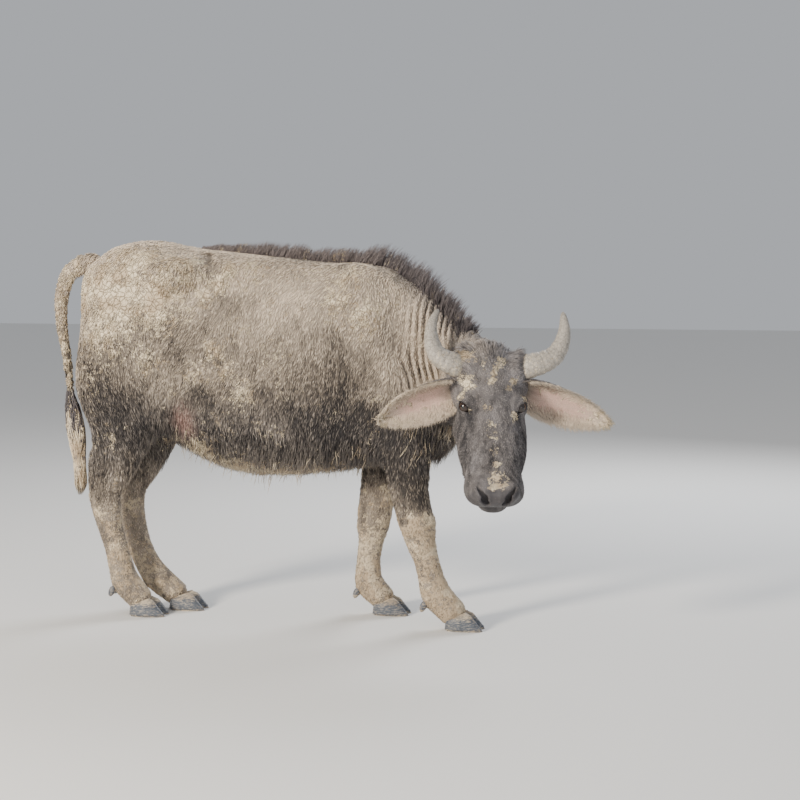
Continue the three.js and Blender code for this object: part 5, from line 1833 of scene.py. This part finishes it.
def ear_hair(word, side, seed):
    own = np.random.RandomState(seed)
    t = np.concatenate([own.uniform(0.0, 0.99, ON_BACK), own.uniform(0.03, 0.97, ON_CUP),
                        own.uniform(0.05, 1.0, ON_RIM)])
    on_back = own.uniform(-0.97, 0.97, ON_BACK)
    on_cup = np.sign(own.rand(ON_CUP) - 0.5) * own.uniform(0.12, 0.9, ON_CUP) ** 0.7
    on_rim = np.sign(own.rand(ON_RIM) - 0.5) * own.uniform(0.93, 1.0, ON_RIM)
    a = np.concatenate([on_back, on_cup, on_rim])
    layer = np.concatenate([np.ones(ON_BACK), -np.ones(ON_CUP), np.sign(own.rand(ON_RIM) - 0.5)])
    kind = np.repeat([0, 1, 2], [ON_BACK, ON_CUP, ON_RIM])
    at = ear_point(side, t, a, layer)
    to_tip = ear_point(side, t + 0.004, a, layer) - at
    to_rim = ear_point(side, t, np.clip(a + 0.01, -1, 1.01), layer) - at
    to_tip, to_rim = unit(to_tip + 1e-9), unit(to_rim + 1e-9)
    out = unit(np.cross(to_tip, to_rim))
    core = ear_point(side, t, a * 0.98, layer * 0.0) - at
    out = out * -np.sign((out * core).sum(1) + 1e-9)[:, None]
    rimward = to_rim * np.sign(a)[:, None]
    lie = np.where((kind == 0)[:, None], to_tip + 0.35 * rimward,
                   np.where((kind == 1)[:, None], 0.55 * to_tip + rimward,
                            0.75 * to_tip + 0.9 * rimward))
    down = into_head(HEAD_AT + DOWN[None])[0]
    lie = lie + (kind == 2)[:, None] * down * 0.35 + own.normal(0, 0.16, lie.shape)
    lie = unit(lie - out * ((lie * out).sum(1) * (kind < 2))[:, None])
    long = np.choose(kind, [12.0, 23.0, 23.0]) * own.uniform(0.6, 1.35, len(t))
    long = long * (0.7 + 0.5 * np.sin(math.pi * np.clip(t, 0.1, 0.9)))
    rise = np.choose(kind, [0.16, 0.26, 0.12]) + 0.2 * own.rand(len(t)) ** 2
    world_root, world_out = out_of_head(at), out @ HEAD_TURN.T
    world_lie = lie @ HEAD_TURN.T
    paths, sides = lying_paths(world_root, world_out, world_lie, long, rise,
                               own.normal(0, 0.15, len(t)), np.full(len(t), 0.08), 1.2,
                               BLADE_RINGS)
    wide = np.choose(kind, [1.9, 1.5, 1.5])[:, None] * own.uniform(0.7, 1.3, (len(t), 1))
    own_marks = ear_marks(t, a, np.where(kind == 2, -1.0, layer), seed)
    dark_top = (kind == 2) * (a * side < 0) * 0.35
    marks = {"tone": np.where(kind == 0, 0.34, 0.98) - dark_top, "slate": (kind == 0) * 0.9,
             "pink": own_marks["pink"] * 0.25, "mud": own_marks["mud"] * 0.8,
             "strand": np.clip(0.55 + own.normal(0, 0.2, len(t)), 0, 1)}
    across = np.where(layer > 0, 0.25 + 0.23 * a, 0.75 + 0.23 * a)
    return strand_piece(f"ear_hair_{word}", paths, sides, world_out,
                        wide * np.array([[0.9, 1.0, 0.0]]), marks,
                        np.stack([across, 0.02 + 0.96 * t], 1), COAT_HAIR)


for number, (word, side) in enumerate(SIDES.items()):
    print(ear_hair(word, side, 500 + number).name)

# %% [markdown]
# ## Horns
# A young animal's horn is pale grey with fine growth rings round its base, thin cracks that
# run along it and a smoother, darker tip. It is wider than it is thick.

# %% Horns
HORN = [
    (52, 84, -66, 34), (43, 122, -19, 42), (34, 156, -11, 38), (12, 188, -5, 33),
    (-26, 207, 4, 27), (-70, 213, 14, 20), (-106, 207, 24, 13), (-128, 200, 32, 6),
]
HORN_FLAT = 0.84
HORN_DRIFT = 32.0
HORN_SIDES = 48
HORN_STEPS = 16


def tube_points(line, radii, sides, squash, ripple):
    """Rings round a line of points, carried along without twist."""
    tangent = unit(np.gradient(line, axis=0))
    normal = np.zeros_like(line)
    start = np.cross(tangent[0], [0.0, 1.0, 0.2])
    normal[0] = unit(np.cross(start, tangent[0]))
    for i in range(1, len(line)):
        held = normal[i - 1] - tangent[i] * (normal[i - 1] @ tangent[i])
        normal[i] = unit(held)
    other = np.cross(tangent, normal)
    angle = np.linspace(0, 2 * math.pi, sides, endpoint=False)
    r = radii[:, None] + ripple(np.linspace(0, 1, len(line))[:, None], angle[None])
    return (line[:, None] + normal[:, None] * (np.cos(angle) * r * squash)[..., None]
            + other[:, None] * (np.sin(angle) * r)[..., None]).reshape(-1, 3)


def horn_ripple(share, angle):
    """Growth rings that fade towards the tip, on a horn that is not quite round."""
    base = 1 - step_up(share, 0.35, 0.85)
    rings = np.sin(share * 62 + 0.5 * np.sin(angle * 2)) * 0.75
    rings = rings + 0.5 * np.sin(share * 131 + np.sin(angle))
    keel = 0.9 * np.cos(angle * 2 + 0.6)
    return rings * base + keel * (1 - step_up(share, 0.6, 1))


def horn_material():
    material, tree, shader = blank_material("horn_keratin", Specular_IOR_Level=0.4)
    share = stored(tree, "share")
    grain = placed(tree, GRAIN, Scale=120.0, Stretch=(1.0, 1.0, 1.0))
    streaks = placed(tree, GRAIN, Scale=60.0, Stretch=(4.0, 4.0, 0.7))
    tone = added(tree, times(tree, grain.outputs[0], 0.75),
                 times(tree, streaks.outputs[0], 0.6))
    tone = maths(tree, "SUBTRACT", tone, 0.25, clamp=True)
    colour = mixed(tree, tone, rgb(0.17, 0.152, 0.13), rgb(0.62, 0.56, 0.48))
    colour = mixed(tree, spread(tree, share, 0.72, 1.0, 0.0, 0.55), colour, rgb(0.22, 0.20, 0.18))
    mud = placed(tree, MUD, Scale=110.0)
    dirt = spread(tree, maths(tree, "SUBTRACT", grain.outputs[0],
                              times(tree, share, 0.25)), 0.44, 0.56, 0.0, 0.8)
    colour = mixed(tree, dirt, colour, mud.outputs["Color"])
    chip = spread(tree, off_crack(tree, object_place(tree), 70.0), 0.0, 0.05, 0.6, 0.0)
    colour = mixed(tree, chip, colour, rgb(0.07, 0.06, 0.05))
    feed(tree, shader, Base_Color=colour, Roughness=spread(tree, tone, 0.2, 0.8, 0.42, 0.72))
    height = maths(tree, "SUBTRACT", added(tree, grain.outputs[0], streaks.outputs[0]), chip)
    add_bump(tree, shader, height, 0.5, 0.002)
    return material


HORN_KERATIN = horn_material()
for word, side in SIDES.items():
    rows = np.array([(x, y * side + HORN_DRIFT * i / (len(HORN) - 1), z, r)
                     for i, (x, y, z, r) in enumerate(HORN)])
    line = through(rows[:, :3], HORN_STEPS)
    radii = np.interp(np.arange(len(line)) / HORN_STEPS, range(len(rows)), rows[:, 3])
    blunt = step_up(np.arange(len(line))[::-1], -1.0, 5.0) ** 0.5
    points = tube_points(line, radii * blunt, HORN_SIDES, HORN_FLAT, horn_ripple)
    horn = mesh_piece(f"horn_shell_{word}", out_of_head(points),
                      closed_tube(points, len(line), HORN_SIDES))
    mark(horn, {"share": np.repeat(np.linspace(0, 1, len(line)), HORN_SIDES)})
    horn.data.materials.append(HORN_KERATIN)
    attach(horn, "root")
    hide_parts(f"horn_{word}")
    print(horn.name, "faces:", len(horn.data.polygons))

# %% [markdown]
# ## Hooves
# Each foot has two claws with a sloping toe wall, a flat sole and shallow growth rings, and
# two small dewclaws behind the pastern. Mud dries on their upper edge.

# %% Hooves
CLAW_LENGTH = 132.0
CLAW_WIDTH = 50.0
CLAW_HEIGHT = 62.0
CLEFT = 5.0
CLAW_SIDES = 56
CLAW_RINGS = 26
DEWCLAW_SIDES = 24


def claw_points(foot, inner):
    """Rings of points from sole to coronet, with the flat side of the claw at the cleft."""
    angle = np.linspace(0, 2 * math.pi, CLAW_SIDES, endpoint=False)
    c, s = np.cos(angle), np.sin(angle)
    rings = []
    for level in np.linspace(0, 1, CLAW_RINGS):
        lip = 1 - 0.09 * step_up(0.16 - level, 0, 0.16) - 0.30 * step_up(level, 0.74, 1.0) ** 2
        ring = 0.45 * math.sin(level * 46) + 0.35 * math.sin(level * 83)
        front = CLAW_LENGTH * (0.5 - 0.40 * level ** 0.85)
        back = -CLAW_LENGTH * (0.5 - 0.04 * level)
        width = CLAW_WIDTH * (1 - 0.10 * level + 0.05 * math.sin(math.pi * level)) * lip
        x = (front + back) / 2 + ((front - back) / 2 * lip + ring) * c
        reach = 0.5 * np.sign(s) * np.abs(s) ** 0.85 * (1 - 0.2 * np.maximum(c, 0))
        y = width * (0.5 + reach) + ring * (s > 0)
        rings.append(np.stack([foot[0] + x, foot[1] + inner * (CLEFT / 2 + y),
                               level * CLAW_HEIGHT * (0.86 + 0.14 * c)], 1))
    return np.concatenate(rings)


def hoof_material():
    material, tree, shader = blank_material("hoof_horn", Specular_IOR_Level=0.4)
    grain = placed(tree, GRAIN, Scale=90.0, Stretch=(1.0, 1.0, 3.5))
    fine = placed(tree, GRAIN, Scale=600.0)
    colour = mixed(tree, spread(tree, grain.outputs[0], 0.3, 0.7),
                   rgb(0.055, 0.061, 0.072), rgb(0.14, 0.155, 0.18))
    colour = mixed(tree, spread(tree, fine.outputs[0], 0.55, 0.75, 0.0, 0.5), colour,
                   rgb(0.23, 0.24, 0.25))
    mud = placed(tree, MUD, Scale=120.0)
    height = height_of(tree, object_place(tree))
    upper = times(tree, spread(tree, height, 0.026, 0.056),
                  spread(tree, height, 0.064, 0.070, 1.0, 0.3))
    lower = spread(tree, height, 0.0, 0.012, 0.7, 0.0)
    caked = added(tree, added(tree, upper, lower),
                  spread(tree, grain.outputs[0], 0.45, 0.62, -0.45, 0.45), clamp=True)
    colour = mixed(tree, times(tree, caked, 0.85), colour, mud.outputs["Color"])
    feed(tree, shader, Base_Color=colour, Roughness=spread(tree, caked, 0.0, 1.0, 0.45, 0.85))
    bumps = added(tree, grain.outputs[0], times(tree, fine.outputs[0], 0.4))
    add_bump(tree, shader, bumps, 0.4, 0.002)
    return material


def dewclaw(rows, inner):
    """A small blunt cone behind the pastern: its points and its faces."""
    fetlock = rows[-2]
    centre = np.array([fetlock[0] - fetlock[3] * 0.80, fetlock[1] + inner * 24, fetlock[2] - 30])
    share = np.linspace(0, 1, 15)
    line = centre + np.outer(share - 0.45, [-16.0, 0.0, -36.0])
    radii = 12.0 * np.sqrt(np.clip(1 - (2 * share - 1) ** 2, 0.02, 1)) * (1.05 - 0.25 * share)
    points = tube_points(line, radii, DEWCLAW_SIDES, 0.85,
                         lambda share, angle: 0.35 * np.sin(share * 30) * np.ones_like(angle))
    return points, closed_tube(points, len(line), DEWCLAW_SIDES)


HOOF_HORN = hoof_material()
claws = []
for name, rows in LEGS.items():
    own_side = 1 if rows[0][1] > 0 else -1
    for word, inner in (("outer", own_side), ("inner", -own_side)):
        points = claw_points(FEET[name], inner)
        shapes = [(f"claw_{name}_{word}", points, closed_tube(points, CLAW_RINGS, CLAW_SIDES)),
                  (f"dewclaw_{name}_{word}", *dewclaw(rows, inner))]
        for node_name, points, faces in shapes:
            claw = mesh_piece(f"{node_name}_horn", points, faces)
            claw.data.materials.append(HOOF_HORN)
            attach(claw, "root")
            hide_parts(node_name)
            claws.append(claw)
print("claws and dewclaws:", len(claws))

# %% [markdown]
# ## Eyes
# A dark wet ball with a slightly raised, very smooth front. The brown iris shows only as a
# ring of warmer dark round a wide pupil that lies level.

# %% Eyes
EYE_RINGS = 40
EYE_SIDES = 64
POLE_GAP = 0.02
CORNEA = 1.6
PUPIL_FLAT = 0.55


def eye_material():
    material, tree, shader = blank_material("wet_eye", 0.08, Specular_IOR_Level=0.4)
    gaze = stored(tree, "share")
    level = stored(tree, "strand")
    iris = mixed(tree, spread(tree, gaze, 0.30, 0.52), rgb(0.026, 0.013, 0.007),
                 rgb(0.008, 0.005, 0.004))
    fibre = node(tree, "TexNoise")
    feed(tree, fibre, Scale=900.0, Detail=3.0)
    iris = mixed(tree, spread(tree, fibre.outputs[0], 0.4, 0.7, 0.0, 0.35), iris,
                 rgb(0.045, 0.024, 0.013))
    white = mixed(tree, spread(tree, gaze, 0.74, 0.84), iris, rgb(0.14, 0.10, 0.09))
    colour = mixed(tree, spread(tree, level, 0.16, 0.20), rgb(0.004, 0.004, 0.005), white)
    feed(tree, shader, Base_Color=colour, Coat_Weight=0.7, Coat_Roughness=0.02)
    return material


WET_EYE = eye_material()
polar = np.linspace(POLE_GAP, math.pi - POLE_GAP, EYE_RINGS)
turn = np.linspace(0, 2 * math.pi, EYE_SIDES, endpoint=False)
bulge = EYE_RADIUS + CORNEA * (1 - step_up(polar, 0.15, 0.75))
local = np.stack([(np.sin(polar)[:, None] * np.cos(turn)).ravel(),
                  (np.sin(polar)[:, None] * np.sin(turn)).ravel(),
                  np.repeat(np.cos(polar), EYE_SIDES)], 1)
for word, side in SIDES.items():
    looks, corners, above = eye_axes(side)
    points = (np.array(twin(EYE_AT, side)) + np.repeat(bulge, EYE_SIDES)[:, None]
              * (local[:, :1] * corners + local[:, 1:2] * above + local[:, 2:] * looks))
    ball = mesh_piece(f"eyeball_{word}", out_of_head(points),
                      closed_tube(points, EYE_RINGS, EYE_SIDES))
    mark(ball, {"share": np.repeat(polar, EYE_SIDES) / math.pi * 2,
                "strand": np.hypot(local[:, 0] * PUPIL_FLAT, local[:, 1]) + (local[:, 2] < 0)})
    ball.data.materials.append(WET_EYE)
    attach(ball, "root")
    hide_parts(f"eye_{word}")
    print(ball.name, "faces:", len(ball.data.polygons))

# %% [markdown]
# ## The brush of the tail
# Long dark hair hangs from the end of the tail bone and gathers below into a clump that is
# heavy with dried mud. The strands follow one falling line and keep to its varying width.

# %% Tail brush
BRUSH = [(-806, -8, 800, 12), (-800, -8, 734, 20), (-793, -9, 690, 28), (-784, -10, 630, 34),
         (-776, -10, 570, 28), (-770, -10, 510, 19), (-768, -10, 470, 22), (-768, -10, 430, 22),
         (-770, -10, 396, 8)]
BRUSH_SHAPE = (0.7, 1.0, 1.0, 0.95, 0.8, 0.55, 0.0)
BRUSH_STRANDS = 1100
BRUSH_SEED = 701


def tail_brush(count, seed):
    own = np.random.RandomState(seed)
    rows = np.array(BRUSH, float)
    spine = through(rows[:, :3], 4)
    girth = np.interp(np.arange(len(spine)) / 4, range(len(rows)), rows[:, 3])
    start = own.uniform(0, 0.42, count) ** 1.2
    stop = np.clip(start + own.uniform(0.28, 0.75, count), 0.3, 1.0)
    angle = own.uniform(0, 2 * math.pi, count)
    depth = np.sqrt(own.uniform(0.1, 1.0, count))
    t = np.linspace(0, 1, len(BRUSH_SHAPE))
    place = (start[:, None] + (stop - start)[:, None] * t) * (len(spine) - 1)
    centre = np.stack([np.interp(place, range(len(spine)), spine[:, k]) for k in range(3)], -1)
    reach = np.interp(place, range(len(spine)), girth) * depth[:, None]
    reach *= 0.25 + 0.75 * step_up(t, 0, 0.3)
    swirl = (angle[:, None] + 0.7 * t * own.normal(0, 1, (count, 1))
             + 0.5 * np.sin(5 * t + own.uniform(0, 6, (count, 1))))
    paths = centre + np.stack([np.cos(swirl) * reach, np.sin(swirl) * reach * 0.72,
                               0 * reach], -1)
    sides = unit(np.stack([-np.sin(angle), np.cos(angle), 0 * angle], 1))
    ups = np.stack([np.cos(angle), np.sin(angle), 0 * angle], 1)
    caked = step_up(560 - paths[:, -1, 2], 0, 90)
    widths = (3.4 + 2.2 * caked)[:, None] * own.uniform(0.7, 1.3, (count, 1))
    widths = widths * np.array([BRUSH_SHAPE])
    marks = {"tone": 0.30, "slate": 0.8,
             "mud": caked * own.uniform(0.5, 1.0, count),
             "strand": np.clip(0.5 + own.normal(0, 0.25, count), 0, 1)}
    piece = strand_piece("tail_brush", paths, sides, ups, widths, marks,
                         np.stack([spread_out(angle), spread_out(start)], 1), CREST_HAIR)
    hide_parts("tail_switch")
    return piece


print("tail brush triangles:", len(tail_brush(BRUSH_STRANDS, BRUSH_SEED).data.polygons))

# %% [markdown]
# ## Wisps under belly and brisket
# A few long wisps, stuck together with mud, hang below the belly and the brisket. They grow
# from roots that the coat has already found.

# %% Wisps
BELLY_WISPS = 420
BRISKET_WISPS = 260
WISP_SHAPE = (1, 1, 1, 0.8, 0.6, 0)


def roots_within(x_range, z_range, steepest):
    """Roots in a part of the body whose skin faces down more than a given slope."""
    x, y, z = root.T
    return ((root_normal[:, 2] < steepest) & (x > x_range[0]) & (x < x_range[1])
            & (z > z_range[0]) & (z < z_range[1]))


own = np.random.RandomState(808)
below = np.flatnonzero(roots_within((-420, 260), (BELLY_Z, math.inf), -0.55)
                       & (np.abs(root[:, 1]) < 170))
below = below[own.permutation(len(below))[:BELLY_WISPS]]
before = np.flatnonzero(roots_within((400, 560), (560, 690), 0.1))[::9][:BRISKET_WISPS]
hang = np.concatenate([below, before])
count = len(hang)
start, out = root[hang], root_normal[hang]
long = own.uniform(26, 62, count) * np.where(own.rand(count) < 0.08, 1.5, 1.0)
t = np.linspace(0, 1, len(WISP_SHAPE))[None, :, None]
fallen = unit(np.array([-0.25, 0, -1.0]) + own.normal(0, 0.28, (count, 3)))
crimp = own.normal(0, 1, (count, 3))
wisp_paths = (start[:, None] + fallen[:, None] * long[:, None, None] * t
              + crimp[:, None] * 4.0 * np.sin(t * 5 + own.uniform(0, 6, (count, 1, 1))) * t)
wisp_paths[:, 0] += -fallen * 4
flat = unit(np.cross(fallen, own.normal(0, 1, (count, 3))))
wisp_marks = {name: coat[name][hang] for name in SKIN_MARKS}
wisp_marks["mud"] = np.clip(0.35 + own.rand(count), 0, 1)
wisp_marks["strand"] = own.rand(count)
wisp_widths = own.uniform(1.2, 2.8, (count, 1)) * np.array([WISP_SHAPE])
wisp_patches = np.stack([spread_out(start[:, 0]), spread_out(start[:, 1])], 1)
strand_piece("belly_wisps", wisp_paths, flat, unit(np.cross(fallen, flat)), wisp_widths,
             wisp_marks, wisp_patches, COAT_HAIR)
print("wisps:", count)

# %% [markdown]
# ## Lashes
# The upper lids carry a row of short dark lashes. They start on the lid's edge, so they follow
# the same curve as the opening.

# %% Lashes
LASHES = 40
LASH_LONG = 15
LASH_WIDE = 0.9
LASH_SHAPE = (1, 1, 0.7, 0)

lash_paths, lash_sides, lash_ups = [], [], []
for side in (-1, 1):
    looks, corners, above = eye_axes(side)
    for a in np.linspace(-0.85, 0.85, LASHES) * LID_LONG:
        at = lid_point(side, a, float(lid_gap(a)) + 1.5, 2.0)
        way = looks * 0.9 + corners * (a / LID_LONG) * 0.5 - above * 0.3
        way = way + own.normal(0, 0.1, 3)
        s = np.linspace(0, 1, len(LASH_SHAPE))[:, None]
        lash_paths.append(at + way * LASH_LONG * s + above * 5 * s * s - looks * 3 * (s == 0))
        lash_sides.append(corners)
        lash_ups.append(above)
lash_paths = out_of_head(np.array(lash_paths).reshape(-1, 3)).reshape(-1, 4, 3)
lash_widths = np.tile(LASH_WIDE * np.array(LASH_SHAPE), (len(lash_paths), 1))
lash_patches = np.stack([np.linspace(0.02, 0.98, len(lash_paths))] * 2, 1)
strand_piece("lashes", lash_paths, np.array(lash_sides) @ HEAD_TURN.T,
             np.array(lash_ups) @ HEAD_TURN.T, lash_widths,
             {"tone": 0.1, "slate": 1.0, "strand": 0.2}, lash_patches, CREST_HAIR)
print("lashes:", len(lash_paths))

# %% Finish
total = sum(sum(len(p.vertices) - 2 for p in o.data.polygons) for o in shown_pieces()
            if o.type == "MESH")
print("triangles in all:", total)
